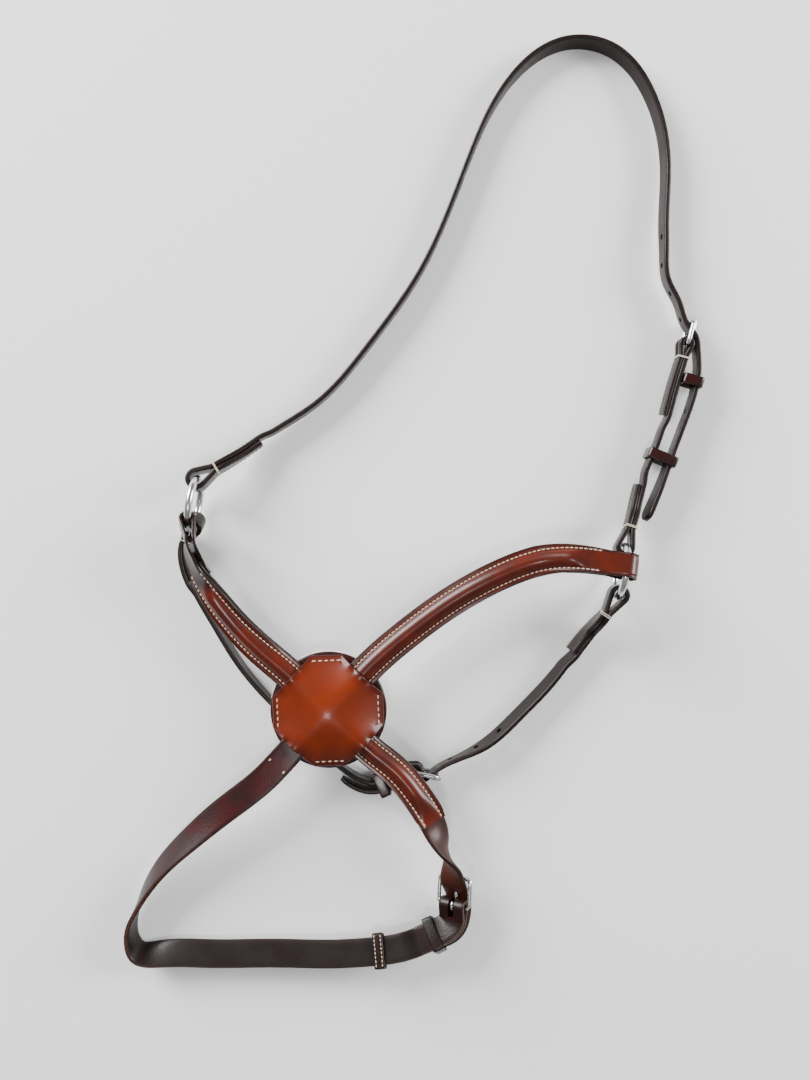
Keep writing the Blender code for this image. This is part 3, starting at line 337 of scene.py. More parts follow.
    @staticmethod
    def mix(tree: bpy.types.NodeTree, share: bpy.types.NodeSocket,
            first: bpy.types.NodeSocket, second: bpy.types.NodeSocket) -> bpy.types.NodeSocket:
        """Mix two colours and return the result's socket.

        Args:
            tree: the node tree.
            share: how much of the second colour.
            first: a colour.
            second: a colour.

        Returns:
            The result's socket.
        """
        made = tree.nodes.new("ShaderNodeMix")
        made.data_type = "RGBA"
        tree.links.new(share, made.inputs["Factor"])
        tree.links.new(first, made.inputs[6])
        tree.links.new(second, made.inputs[7])
        return made.outputs[2]

    @staticmethod
    def maths(tree: bpy.types.NodeTree, kind: str, first: bpy.types.NodeSocket,
              second: object) -> bpy.types.NodeSocket:
        """Do one sum with a socket and a socket or number, and return its socket.

        Args:
            tree: the node tree.
            kind: the sum.
            first: a socket.
            second: a socket or a number.

        Returns:
            The result's socket.
        """
        made = tree.nodes.new("ShaderNodeMath")
        made.operation = kind
        tree.links.new(first, made.inputs[0])
        if isinstance(second, (int, float)):
            made.inputs[1].default_value = second
        else:
            tree.links.new(second, made.inputs[1])
        return made.outputs[0]

    @staticmethod
    def ramp(tree: bpy.types.NodeTree, value: bpy.types.NodeSocket, low: float,
             high: float, bottom: float = 0.0, top: float = 1.0) -> bpy.types.NodeSocket:
        """Map low..high of a value smoothly to bottom..top, and return the socket.

        Args:
            tree: the node tree.
            value: the socket to map.
            low: value at the bottom.
            high: value at the top.
            bottom: result at low.
            top: result at high.

        Returns:
            The result's socket.
        """
        made = tree.nodes.new("ShaderNodeMapRange")
        made.interpolation_type = "SMOOTHSTEP"
        made.inputs["From Min"].default_value = low
        made.inputs["From Max"].default_value = high
        made.inputs["To Min"].default_value = bottom
        made.inputs["To Max"].default_value = top
        tree.links.new(value, made.inputs["Value"])
        return made.outputs["Result"]

    @staticmethod
    def attribute(tree: bpy.types.NodeTree, name: str) -> bpy.types.NodeSocket:
        """Read one number stored on the mesh.

        Args:
            tree: the node tree.
            name: the stored number.

        Returns:
            The number's socket.
        """
        made = tree.nodes.new("ShaderNodeAttribute")
        made.attribute_name = name
        return made.outputs["Fac"]

    @staticmethod
    def start(name: str) -> tuple[bpy.types.Material, bpy.types.NodeTree, bpy.types.Node,
                                  bpy.types.NodeSocket]:
        """Start a material: its tree, its Principled shader and object coordinates.

        Args:
            name: the material's name.

        Returns:
            The material, its tree, its shader and its coordinates.
        """
        paint = bpy.data.materials.new(name)
        paint.use_nodes = True
        tree = paint.node_tree
        shader = tree.nodes["Principled BSDF"]
        place = tree.nodes.new("ShaderNodeTexCoord").outputs["Object"]
        return paint, tree, shader, place

    def leather(self, finish: LeatherFinish) -> bpy.types.Material:
        """Return the material of a leather finish, made once.

        Args:
            finish: the tannage.

        Returns:
            The material.
        """
        if finish.name in self.made:
            return self.made[finish.name]
        paint, tree, shader, place = self.start(finish.name)
        aged_and_shaded = tree.nodes.new("ShaderNodeGroup")
        aged_and_shaded.node_tree = self.ageing_and_shade
        tree.links.new(place, aged_and_shaded.inputs["Vector"])
        for name, colour in (("Face", finish.face), ("Dark", finish.dark),
                             ("Edge", finish.edge), ("Flesh", finish.flesh)):
            aged_and_shaded.inputs[name].default_value = (*colour, 1.0)
        rim, flesh = self.attribute(tree, "rim"), self.attribute(tree, "flesh")
        tree.links.new(rim, aged_and_shaded.inputs["Rim"])
        tree.links.new(flesh, aged_and_shaded.inputs["Flesh side"])
        # The mesh's shaded mark brings painted shade into the colour.
        tree.links.new(self.attribute(tree, "shaded"), aged_and_shaded.inputs["Shaded"])
        aged_and_shaded.inputs["Wear"].default_value = finish.wear
        aged_and_shaded.inputs["Mottle"].default_value = finish.mottle
        tree.links.new(aged_and_shaded.outputs["Color"], shader.inputs["Base Color"])
        rough = self.ramp(tree, aged_and_shaded.outputs["Polish"], 0.0, 1.0, finish.gloss + 0.08,
                          finish.gloss)
        dull = self.maths(tree, "MAXIMUM", rim, flesh)
        dull = self.maths(tree, "MULTIPLY", dull, 0.04)
        tree.links.new(self.maths(tree, "ADD", rough, dull), shader.inputs["Roughness"])
        grain = tree.nodes.new("ShaderNodeGroup")
        grain.node_tree = self.grain
        tree.links.new(place, grain.inputs["Vector"])
        grain.inputs["Scale"].default_value = 1150.0
        grain.inputs["Creases"].default_value = 0.55
        bump = tree.nodes.new("ShaderNodeBump")
        bump.inputs["Strength"].default_value = finish.grain
        bump.inputs["Distance"].default_value = 0.00016
        tree.links.new(grain.outputs["Height"], bump.inputs["Height"])
        tree.links.new(bump.outputs["Normal"], shader.inputs["Normal"])
        shader.inputs["Coat Weight"].default_value = finish.coat
        shader.inputs["Coat Roughness"].default_value = 0.16
        shader.inputs["Specular IOR Level"].default_value = 0.22
        self.made[finish.name] = paint
        return paint

    def steel(self, finish: PlainFinish) -> bpy.types.Material:
        """Return polished steel with fine draw lines and soft smears, made once.

        Args:
            finish: the metal's colours.

        Returns:
            The material.
        """
        if finish.name in self.made:
            return self.made[finish.name]
        paint, tree, shader, place = self.start(finish.name)
        shader.inputs["Metallic"].default_value = 1.0
        smear, scratch = tree.nodes.new("ShaderNodeTexNoise"), tree.nodes.new("ShaderNodeTexNoise")
        smear.inputs["Scale"].default_value = 180.0
        smear.inputs["Detail"].default_value = 5.0
        scratch.inputs["Scale"].default_value = 2400.0
        scratch.inputs["Detail"].default_value = 3.0
        for texture in (smear, scratch):
            tree.links.new(place, texture.inputs["Vector"])
        colours = tree.nodes.new("ShaderNodeMix")
        colours.data_type = "RGBA"
        colours.inputs[6].default_value = (*finish.other, 1.0)
        colours.inputs[7].default_value = (*finish.colour, 1.0)
        tree.links.new(self.ramp(tree, smear.outputs["Fac"], 0.35, 0.6), colours.inputs["Factor"])
        tree.links.new(colours.outputs[2], shader.inputs["Base Color"])
        rough = self.ramp(tree, smear.outputs["Fac"], 0.3, 0.7, finish.roughness + 0.12,
                          finish.roughness)
        tree.links.new(rough, shader.inputs["Roughness"])
        bump = tree.nodes.new("ShaderNodeBump")
        bump.inputs["Strength"].default_value = 0.05
        bump.inputs["Distance"].default_value = 0.0001
        tree.links.new(scratch.outputs["Fac"], bump.inputs["Height"])
        tree.links.new(bump.outputs["Normal"], shader.inputs["Normal"])
        self.made[finish.name] = paint
        return paint

    def thread(self, finish: PlainFinish) -> bpy.types.Material:
        """Return the material of a sewing thread."""
        return self.fibre(finish, THREAD_TWIST, THREAD_RELIEF)

    def fibre(self, finish: PlainFinish, scale: float, depth: float) -> bpy.types.Material:
        """Return a matt fibrous material for felt or thread, made once.

        Args:
            finish: the colours.
            scale: how fine the fibres are.
            depth: the height of the fibres in metres.

        Returns:
            The material.
        """
        if finish.name in self.made:
            return self.made[finish.name]
        paint, tree, shader, place = self.start(finish.name)
        fibres = tree.nodes.new("ShaderNodeTexNoise")
        fibres.inputs["Scale"].default_value = scale
        fibres.inputs["Detail"].default_value = 8.0
        fibres.inputs["Distortion"].default_value = 2.5
        tree.links.new(place, fibres.inputs["Vector"])
        colours = tree.nodes.new("ShaderNodeMix")
        colours.data_type = "RGBA"
        colours.inputs[6].default_value = (*finish.other, 1.0)
        colours.inputs[7].default_value = (*finish.colour, 1.0)
        tree.links.new(self.ramp(tree, fibres.outputs["Fac"], 0.3, 0.62), colours.inputs["Factor"])
        tree.links.new(colours.outputs[2], shader.inputs["Base Color"])
        shader.inputs["Roughness"].default_value = finish.roughness
        shader.inputs["Sheen Weight"].default_value = 0.35
        bump = tree.nodes.new("ShaderNodeBump")
        bump.inputs["Strength"].default_value = 0.7
        bump.inputs["Distance"].default_value = depth
        tree.links.new(fibres.outputs["Fac"], bump.inputs["Height"])
        tree.links.new(bump.outputs["Normal"], shader.inputs["Normal"])
        self.made[finish.name] = paint
        return paint


# ---- routes ---------------------------------------------------------------------------


def spline(knots: np.ndarray, values: np.ndarray, start: np.ndarray, end: np.ndarray,
           steps: np.ndarray) -> np.ndarray:
    """Clamped cubic spline through values at knots, read at steps.

    Args:
        knots: lengths of the known points.
        values: the known points.
        start: direction at the first point.
        end: direction at the last point.
        steps: lengths to read.

    Returns:
        The points at the steps.
    """
    count = len(knots)
    spans = np.diff(knots)
    table = np.zeros((count, count))
    right = np.zeros_like(values)
    table[0, 0] = table[-1, -1] = 1.0
    right[0], right[-1] = start, end
    for i in range(1, count - 1):
        before, after = spans[i - 1], spans[i]
        table[i, i - 1:i + 2] = after, 2 * (before + after), before
        rise = after * (values[i] - values[i - 1]) / before
        right[i] = 3 * (rise + before * (values[i + 1] - values[i]) / after)
    slopes = np.linalg.solve(table, right)
    where = np.clip(np.searchsorted(knots, steps, side="right") - 1, 0, count - 2)
    span = spans[where][:, None]
    t = ((steps - knots[where]) / spans[where])[:, None]
    near, far = values[where], values[where + 1]
    leave, arrive = slopes[where] * span, slopes[where + 1] * span
    return ((2 * t**3 - 3 * t**2 + 1) * near + (t**3 - 2 * t**2 + t) * leave
            + (3 * t**2 - 2 * t**3) * far + (t**3 - t**2) * arrive)


class Route:
    """A smooth line with a point, along, width and face direction at each length."""

    def __init__(self, spots: Sequence[Spot], start: Vector, end: Vector) -> None:
        """Run a line through spots, each a point and its width direction.

        Args:
            spots: the points and width directions.
            start: direction at the first spot.
            end: direction at the last spot.
        """
        points = np.array([tuple(point) for point, _ in spots])
        widths = np.array([tuple(width) for _, width in spots])
        chords = np.linalg.norm(np.diff(points, axis=0), axis=1)
        knots = np.concatenate(([0.0], np.cumsum(chords)))
        steps = np.linspace(0.0, knots[-1], ceil(knots[-1] / 0.001) + 1)
        still = np.zeros(3)
        self.line = spline(knots, points, np.array(start), np.array(end), steps)
        self.width = spline(knots, widths, still, still, steps)
        gaps = np.linalg.norm(np.diff(self.line, axis=0), axis=1)
        self.length_at = np.concatenate(([0.0], np.cumsum(gaps)))
        self.length = float(self.length_at[-1])
        self.along = np.gradient(self.line, self.length_at, axis=0)
        self.along[0], self.along[-1] = start, end

    def read(self, table: np.ndarray, s: float) -> Vector:
        """Read one table at length s."""
        s = min(max(s, 0.0), self.length)
        return Vector([float(np.interp(s, self.length_at, column)) for column in table.T])

    def frame(self, s: float) -> tuple[Vector, Vector, Vector, Vector]:
        """Return the point, along, width and face directions at length s.

        Args:
            s: the length.

        Returns:
            The point and the along, width and face directions.
        """
        along = self.read(self.along, s).normalized()
        point = self.read(self.line, s)
        point += along * (min(s, 0.0) + max(s - self.length, 0.0))
        width = self.read(self.width, s)
        width = (width - along * width.dot(along)).normalized()
        return point, along, width, width.cross(along)

    def spot(self, s: float, out: float = 0.0, across: float = 0.0) -> Vector:
        """Return the point at length s, moved out of the face and across the width."""
        point, _, width, face = self.frame(s)
        return point + face * out + width * across

    def matrix(self, s: float, out: float = 0.0) -> Matrix:
        """Return a matrix with X across, Y along and Z out of the face.

        Args:
            s: the length.
            out: distance out of the face.

        Returns:
            The matrix.
        """
        _, along, width, face = self.frame(s)
        turn = Matrix((width, along, face)).transposed().to_4x4()
        return Matrix.Translation(self.spot(s, out)) @ turn

    def nearest(self, point: Vector) -> float:
        """Return the length along the route that lies closest to a point."""
        gaps = np.linalg.norm(self.line - np.array(tuple(point)), axis=1)
        return float(self.length_at[int(np.argmin(gaps))])


def width_direction(along: Vector, tilt: float) -> Vector:
    """Width of a strap going along: flat at 0 degrees, on edge at 90 or -90 degrees.

    Args:
        along: the strap's direction.
        tilt: its turn in degrees.

    Returns:
        The direction.
    """
    right = along.cross(Vector((0, 0, 1))).normalized()
    up = right.cross(along).normalized()
    return right * cos(radians(tilt)) + up * sin(radians(tilt))


def laid(points: Sequence[tuple[float, float, float, float]], start: Vector,
         end: Vector) -> list[Spot]:
    """Turn (x, y, z, tilt) points into spots between two known points.

    Args:
        points: places with a tilt.
        start: the point before them.
        end: the point after them.

    Returns:
        The spots.
    """
    line = [start, *[Vector(point[:3]) for point in points], end]
    spots = []
    for i, (x, y, z, tilt) in enumerate(points):
        along = (line[i + 2] - line[i]).normalized()
        spots.append((Vector((x, y, z)), width_direction(along, tilt)))
    return spots


def head(across: float, rise: float, level: float = HEAD_LEVEL,
         tilt: float = 90) -> tuple[float, float, float, float]:
    """A point of the headpiece, as shares of the ring spacing and the head rise."""
    return (PLACE.x + across * RING_SPACING, PLACE.y + rise * HEAD_RISE, level, tilt)


def nose(across: float, drop: float, level: float,
         tilt: float) -> tuple[float, float, float, float]:
    """A point of the noseband, as shares of the ring spacing and the chin drop."""
    return (PLACE.x + across * RING_SPACING, PLACE.y - drop * CHIN_DROP, level, tilt)


def ring_centre(side: Side) -> Vector:
    """Centre of one cheek ring."""
    return PLACE + Vector((side.value * RING_SPACING / 2, 0, RING_LEVEL))


def sagitta(width: float) -> float:
    """How far a ring's wire bends away within a strap of this width."""
    return RING_RADIUS - (RING_RADIUS**2 - (width / 2) ** 2) ** 0.5


def runs(start: float, stop: float, step: float = STEP) -> list[float]:
    """Lengths from start to stop, both included, about one step apart."""
    count = max(1, round(abs(stop - start) / step))
    return [start + (stop - start) * i / count for i in range(count + 1)]


def turned_end(bar: float, slack: float, shank: float, half_gap: float, back: float,
               thickness: float, ramp: float = 0.012) -> list[Row]:
    """Side view of a strap end taken round a bar and laid back on itself.

    Args:
        bar: radius of the bar.
        slack: extra room beyond the bar.
        shank: distance from the bar to where the layers meet.
        half_gap: half the distance between the layers' middles.
        back: how far the turned end lies back.
        thickness: the strap's thickness.
        ramp: length over which the front moves out of line.

    Returns:
        Places (s, out), with the bar at the origin and the strap towards +s.
    """
    radius = bar + LOOP_EASE + thickness / 2
    reach = hypot(shank + slack, half_gap)
    first = atan2(half_gap, shank + slack) + acos(radius / reach)
    front = []
    for s in runs(back + ramp, back + TOUCH) if ramp else []:
        share = (back + ramp - s) / ramp
        front.append((s, half_gap * (3 * share**2 - 2 * share**3)))
    front += [(s, half_gap) for s in runs(back, shank)]
    bend = [(radius * cos(turn) - slack, radius * sin(turn))
            for turn in runs(first, 2 * pi - first, 0.12)]
    rear = [(s, -half_gap) for s in runs(shank, back)]
    return front + bend + rear


def at_start(end: list[Row], shank: float) -> list[Row]:
    """Put a turned end at the start of a route, whose line begins at the junction."""
    return [(s - shank, out) for s, out in reversed(end)]


def at_finish(end: list[Row], length: float, shank: float) -> list[Row]:
    """Put a turned end at the end of a route of this length."""
    return [(length + shank - s, out) for s, out in end]


@dataclass
class RingHold:
    """Where a strap end goes round a ring.

    turn is the place round the ring in degrees from +Y towards +Z, and swing turns the
    strap from the ring's radius towards +X.
    """

    side: Side
    turn: float
    swing: float
    shank: float
    flip: int = 1

    def __post_init__(self) -> None:
        """Work out the directions and the junction."""
        turn, self.lean = radians(self.turn), radians(self.swing)
        radius = Vector((0, cos(turn), sin(turn)))
        wire = ring_centre(self.side) + radius * RING_RADIUS
        self.away = radius * cos(self.lean) + Vector((1, 0, 0)) * sin(self.lean)
        self.width = Vector((0, -sin(turn), cos(turn))) * self.flip
        self.junction = wire + self.away * self.shank

    def end(self, width: float, thickness: float, half_gap: float, back: float,
            ramp: float = 0.012) -> list[Row]:
        """Side view of a strap end on this ring, clear of the wire's bend.

        Args:
            width: the strap's width.
            thickness: its thickness.
            half_gap: from the middle to a layer.
            back: length of the doubled part.
            ramp: length over which it closes.

        Returns:
            Places (s, out) of the side view.
        """
        bend = sagitta(width)
        bar = RING_WIRE / 2 + bend * abs(sin(self.lean))
        return turned_end(bar, bend * cos(self.lean), self.shank, half_gap, back, thickness,
                          ramp)

    @property
    def spot(self) -> Spot:
        """The junction as a spot of a route."""
        return self.junction, self.width


@dataclass
class Buckle:
    """A single-bar buckle on the end of a strap's route."""

    name: str
    route: Route
    length: float
    width: float
    thickness: float
    shank: float = 0.008

    def __post_init__(self) -> None:
        """Find the heel bar and the tongue's eye."""
        self.heel = self.route.length + self.shank
        self.eye = BUCKLE_BAR + TOUCH + TONGUE_WIRE / 2

    def crossing(self, thickness: float) -> tuple[float, float, float]:
        """Slope and clearances of a billet under the front bar and over the heel.

        Args:
            thickness: the billet's thickness.

        Returns:
            The slope, and the levels under and over.
        """
        under = BUCKLE_BAR + EASE + thickness / 2
        over = BUCKLE_BAR + LOOP_EASE + self.thickness + EASE + thickness / 2
        return asin((under + over) / self.length), under, over

    def billet_spots(self, thickness: float, approach: Row) -> list[Spot]:
        """Spots for a billet, from the approach to behind the heel bar.

        Args:
            thickness: the billet's thickness.
            approach: its place before the buckle.

        Returns:
            The spots.
        """
        slope, under, over = self.crossing(thickness)
        places = (approach,
                  (self.length - under * sin(slope), -under * cos(slope)),
                  (over * sin(slope), over * cos(slope)),
                  (-0.001, over + TOUCH))
        width = -self.route.frame(self.heel)[2]
        return [(self.route.spot(self.heel + s, out), width) for s, out in places]


# ---- the routes of the straps ---------------------------------------------------------


def cheek_route() -> tuple[Route, RingHold]:
    """From the right ring up to the head buckle, outer face towards +X."""
    hold = RingHold(Side.RIGHT, HEAD_TURN, 8, 0.011, flip=-1)
    end = Vector(head(0.572, 0.429, BUCKLE_LEVEL)[:3])
    points = [head(0.5133, 0.111, HEAD_LEVEL + 0.0067, -90),
              head(0.5218, 0.1754, BUCKLE_LEVEL, -90),
              head(0.5435, 0.2526, BUCKLE_LEVEL, -90),
              head(0.5573, 0.3363, BUCKLE_LEVEL, -90),
              head(0.566, 0.395, BUCKLE_LEVEL, -90)]
    spots = laid(points, hold.junction, end)
    along = Vector((0.1, 0.995, 0)).normalized()
    spots.append((end, width_direction(along, -90)))
    return Route([hold.spot, *spots], hold.away, along), hold


def crown_route(buckle: Buckle) -> tuple[Route, RingHold]:
    """From the left ring over the top, through the head buckle and down to the tip.

    Args:
        buckle: the head buckle.

    Returns:
        The route and its hold on the ring.
    """
    hold = RingHold(Side.LEFT, HEAD_TURN, 50, 0.012)
    points = [head(-0.4171, 0.1082, HEAD_LEVEL + 0.0061), head(-0.3578, 0.1573, HEAD_LEVEL + 0.0017),
              head(-0.262, 0.2301), head(-0.1672, 0.3485), head(-0.065, 0.5216),
              head(0.0078, 0.76), head(0.0643, 0.8988, tilt=94),
              head(0.1878, 0.9994, HEAD_LEVEL + 0.0003, 100),
              head(0.2954, 1.0006, HEAD_LEVEL + 0.0003, 101),
              head(0.4011, 0.9263, HEAD_LEVEL + 0.0005, 101),
              head(0.465, 0.7927, HEAD_LEVEL + 0.0011, 100),
              head(0.4814, 0.6792, HEAD_LEVEL + 0.0025, 99), head(0.492, 0.624, BUCKLE_LEVEL, 96),
              head(0.5098, 0.5675, BUCKLE_LEVEL, 92)]
    through = buckle.billet_spots(HEAD_THICK, (buckle.length + 0.0107, -0.012))
    tail = [head(0.6105, 0.416, BUCKLE_LEVEL), head(0.611, 0.36, BUCKLE_LEVEL),
            head(0.5985, 0.3012, BUCKLE_LEVEL), head(0.583, 0.2398, BUCKLE_LEVEL, 91),
            head(0.565, 0.1675, BUCKLE_LEVEL, 98), head(0.545, 0.1044, BUCKLE_LEVEL, 102)]
    tip = Vector(tail[-1][:3])
    spots = laid(points, hold.junction, through[0][0])
    spots += through
    spots += laid(tail[:-1], through[-1][0], tip)
    along = Vector((-0.27, -0.963, 0)).normalized()
    spots.append((tip, width_direction(along, 102)))
    return Route([hold.spot, *spots], hold.away, along), hold


def jaw_left_route() -> tuple[Route, RingHold]:
    """From the left ring, under the star, to the jaw buckle."""
    hold = RingHold(Side.LEFT, JAW_LEFT_TURN, JAW_LEFT_SWING, JAW_LEFT_SHANK)
    end = Vector(nose(0.076, 0.522, BUCKLE_LEVEL, 0)[:3])
    points = [nose(-0.511, 0.125, HEAD_LEVEL + 0.0015, -95),
              nose(-0.4757, 0.193, HEAD_LEVEL + 0.0007, -95),
              nose(-0.42, 0.262, HEAD_LEVEL, -95), nose(-0.3465, 0.345, HEAD_LEVEL, -95),
              nose(-0.255, 0.422, HEAD_LEVEL, -92), nose(-0.148, 0.494, HEAD_LEVEL + 0.0002, -90),
              nose(-0.05, 0.552, HEAD_LEVEL + 0.0019, -90), nose(0.015, 0.56, BUCKLE_LEVEL, -90)]
    spots = laid(points, hold.junction, end)
    along = Vector((0.99, -0.05, 0)).normalized()
    spots.append((end, width_direction(along, -90)))
    return Route([hold.spot, *spots], hold.away, along), hold


def jaw_right_route(buckle: Buckle) -> tuple[Route, RingHold]:
    """From the right ring to the jaw buckle, through it and on to the tip.

    Args:
        buckle: the jaw buckle.

    Returns:
        The route and its hold on the ring.
    """
    hold = RingHold(Side.RIGHT, 180, -24, 0.012, flip=-1)
    points = [nose(0.465, 0.1344, HEAD_LEVEL + 0.0045, 96),
              nose(0.4363, 0.1851, HEAD_LEVEL + 0.0011, 104),
              nose(0.3852, 0.2753, HEAD_LEVEL + 0.0007, 110),
              nose(0.3195, 0.3668, HEAD_LEVEL + 0.0013, 110),
              nose(0.2554, 0.44, BUCKLE_LEVEL, 106)]
    through = buckle.billet_spots(HEAD_THICK, (buckle.length + 0.009, -0.0125))
    _, _, over = buckle.crossing(HEAD_THICK)
    follow = ((0.014, over - TOUCH), (0.026, over - 3 * TOUCH), (0.038, over - 5 * TOUCH))
    spots = laid(points, hold.junction, through[0][0]) + through
    for gap, out in follow:
        s = buckle.heel - gap
        spots.append((buckle.route.spot(s, out), -buckle.route.frame(s)[2]))
    s = buckle.heel - 0.05
    spots.append((buckle.route.spot(s, over - 6 * TOUCH), -buckle.route.frame(s)[2]))
    return Route([hold.spot, *spots], hold.away, -buckle.route.frame(s)[1]), hold


def arm_direction(quarter: int) -> Vector:
    """Direction of an arm from the star, in quarters from the upper right one."""
    turn = STAR_TURN + quarter * pi / 2
    return Vector((cos(turn), sin(turn), 0))


def arm_spot(quarter: int, reach: float) -> Spot:
    """A spot on an arm's line over the disc, at a distance from the star's middle."""
    along = arm_direction(quarter)
    return PLACE + STAR + along * reach + Vector((0, 0, ARM_LEVEL)), width_direction(along, 0)


def over_disc(quarter: int) -> list[Spot]:
    """The two spots that keep an arm flat until it has left the disc."""
    return [arm_spot(quarter, ARM_START), arm_spot(quarter, DISC_ACROSS / 2 + EASE)]


def upper_left_route() -> tuple[Route, RingHold]:
    """From the star to the left ring, turning up on edge on the way."""
    hold = RingHold(Side.LEFT, LEFT_ARM_TURN, 20, 0.012, flip=-1)
    flat = over_disc(1)
    points = [nose(-0.295, 0.298, ARM_LEVEL, 10),
              nose(-0.365, 0.246, ARM_LEVEL + 0.001, 24),
              nose(-0.433, 0.179, ARM_LEVEL + 0.004, 40),
              nose(-0.474, 0.118, ARM_LEVEL + 0.009, 60)]
    spots = laid(points, flat[-1][0], hold.junction)
    route = Route([*flat, *spots, hold.spot], arm_direction(1), -hold.away)
    return route, hold


def upper_right_route() -> tuple[Route, RingHold]:
    """From the star to the near side of the right ring."""
    hold = RingHold(Side.RIGHT, 78, -84, 0.013)
    flat = over_disc(0)
    points = [nose(0.037, 0.209, ARM_LEVEL, 0),
              nose(0.118, 0.13, ARM_LEVEL + 0.001, 0),
              nose(0.226, 0.048, ARM_LEVEL + 0.004, 2),
              nose(0.33, -0.002, ARM_LEVEL + 0.007, 6)]
    spots = laid(points, flat[-1][0], hold.junction)
    route = Route([*flat, *spots, hold.spot], arm_direction(0), -hold.away)
    return route, hold


def chin_route() -> Route:
    """From the star round the chin loop to the chin buckle; the outer face is down there."""
    flat = over_disc(2)
    end = Vector(nose(0.243, 0.837, CHIN_LEVEL + 0.006, 0)[:3])
    points = [nose(-0.24, 0.585, ARM_LEVEL - 0.001, -5),
              nose(-0.315, 0.665, CHIN_LEVEL + 0.012, -18),
              nose(-0.39, 0.75, CHIN_LEVEL + 0.0075, -40),
              nose(-0.458, 0.845, CHIN_LEVEL + 0.0035, -62),
              nose(-0.493, 0.935, CHIN_LEVEL + 0.001, -84),
              nose(-0.497, 1.0000, CHIN_LEVEL + 0.0005, -100),
              nose(-0.476, 1.033, CHIN_LEVEL + 0.0003, -118), nose(-0.42, 1.03, CHIN_LEVEL, -140),
              nose(-0.31, 1.014, CHIN_LEVEL - 0.0009, -154),
              nose(-0.15, 0.988, CHIN_LEVEL - 0.0005, -158),
              nose(-0.03, 0.969, CHIN_LEVEL + 0.0015, -158),
              nose(0.06, 0.948, CHIN_LEVEL + 0.0035, -158),
              nose(0.14, 0.921, CHIN_LEVEL + 0.005, -156),
              nose(0.205, 0.882, CHIN_LEVEL + 0.0057, -152)]
    spots = laid(points, flat[-1][0], end)
    along = Vector((-0.1, 0.995, 0.0)).normalized()
    spots.append((end, width_direction(along, -150)))
    return Route([*flat, *spots], arm_direction(2), along)


def lower_right_route(buckle: Buckle) -> Route:
    """From the star to the chin buckle, through it and back outside the chin strap.

    Args:
        buckle: the chin buckle.

    Returns:
        The route.
    """
    flat = over_disc(3)
    points = [nose(0.056, 0.52, ARM_LEVEL, 3), nose(0.1, 0.556, ARM_LEVEL, 6),
              nose(0.142, 0.601, ARM_LEVEL, 14), nose(0.17, 0.64, ARM_LEVEL, 34),
              nose(0.196, 0.679, ARM_LEVEL - 0.0005, 72)]
    through = buckle.billet_spots(CHIN_THICK, (buckle.length + 0.008, -0.0062))
    through[0] = (through[0][0], width_direction(-buckle.route.frame(buckle.heel)[1], 120))
    _, _, over = buckle.crossing(CHIN_THICK)
    single = CHIN_THICK + EASE
    follow = ((0.014, over - TOUCH), (0.028, over - 4 * TOUCH), (0.044, single + 4 * TOUCH),
              (0.06, single), (0.08, single))
    spots = laid(points, flat[-1][0], through[0][0])
    spots += through
    for gap, out in follow:
        s = buckle.heel - gap
        spots.append((buckle.route.spot(s, out), -buckle.route.frame(s)[2]))
    s = buckle.heel - 0.098
    spots.append((buckle.route.spot(s, single), -buckle.route.frame(s)[2]))
    return Route([*flat, *spots], arm_direction(3), -buckle.route.frame(s)[1])


# ---- mesh makers ----------------------------------------------------------------------


def finish_mesh(name: str, points: np.ndarray, faces: list[list[int]],
                marks: dict[str, np.ndarray], paint: bpy.types.Material) -> bpy.types.Object:
    """Make a smooth closed mesh object at the origin from places and faces.

    Args:
        name: the piece's name.
        points: places in metres.
        faces: corners of each face.
        marks: a number for each place, by attribute name.
        paint: the material.

    Returns:
        The object.
    """
    mesh = bpy.data.meshes.new(name)
    mesh.from_pydata([tuple(point) for point in points], [], faces)
    for mark, values in marks.items():
        layer = mesh.attributes.new(mark, "FLOAT", "POINT")
        layer.data.foreach_set("value", np.asarray(values, dtype=np.float32))
    work = bmesh.new()
    work.from_mesh(mesh)
    bmesh.ops.recalc_face_normals(work, faces=work.faces)
    work.to_mesh(mesh)
    work.free()
    mesh.shade_smooth()
    mesh.set_sharp_from_angle(angle=radians(50))
    mesh.materials.append(paint)
    thing = bpy.data.objects.new(name, mesh)
    bpy.context.scene.collection.objects.link(thing)
    return thing


def darken(mesh: bpy.types.Mesh) -> None:
    """Mark a cutter, so that the walls it leaves carry painted shade."""
    layer = mesh.attributes.new("shaded", "FLOAT", "POINT")
    layer.data.foreach_set("value", np.ones(len(mesh.vertices), dtype=np.float32))


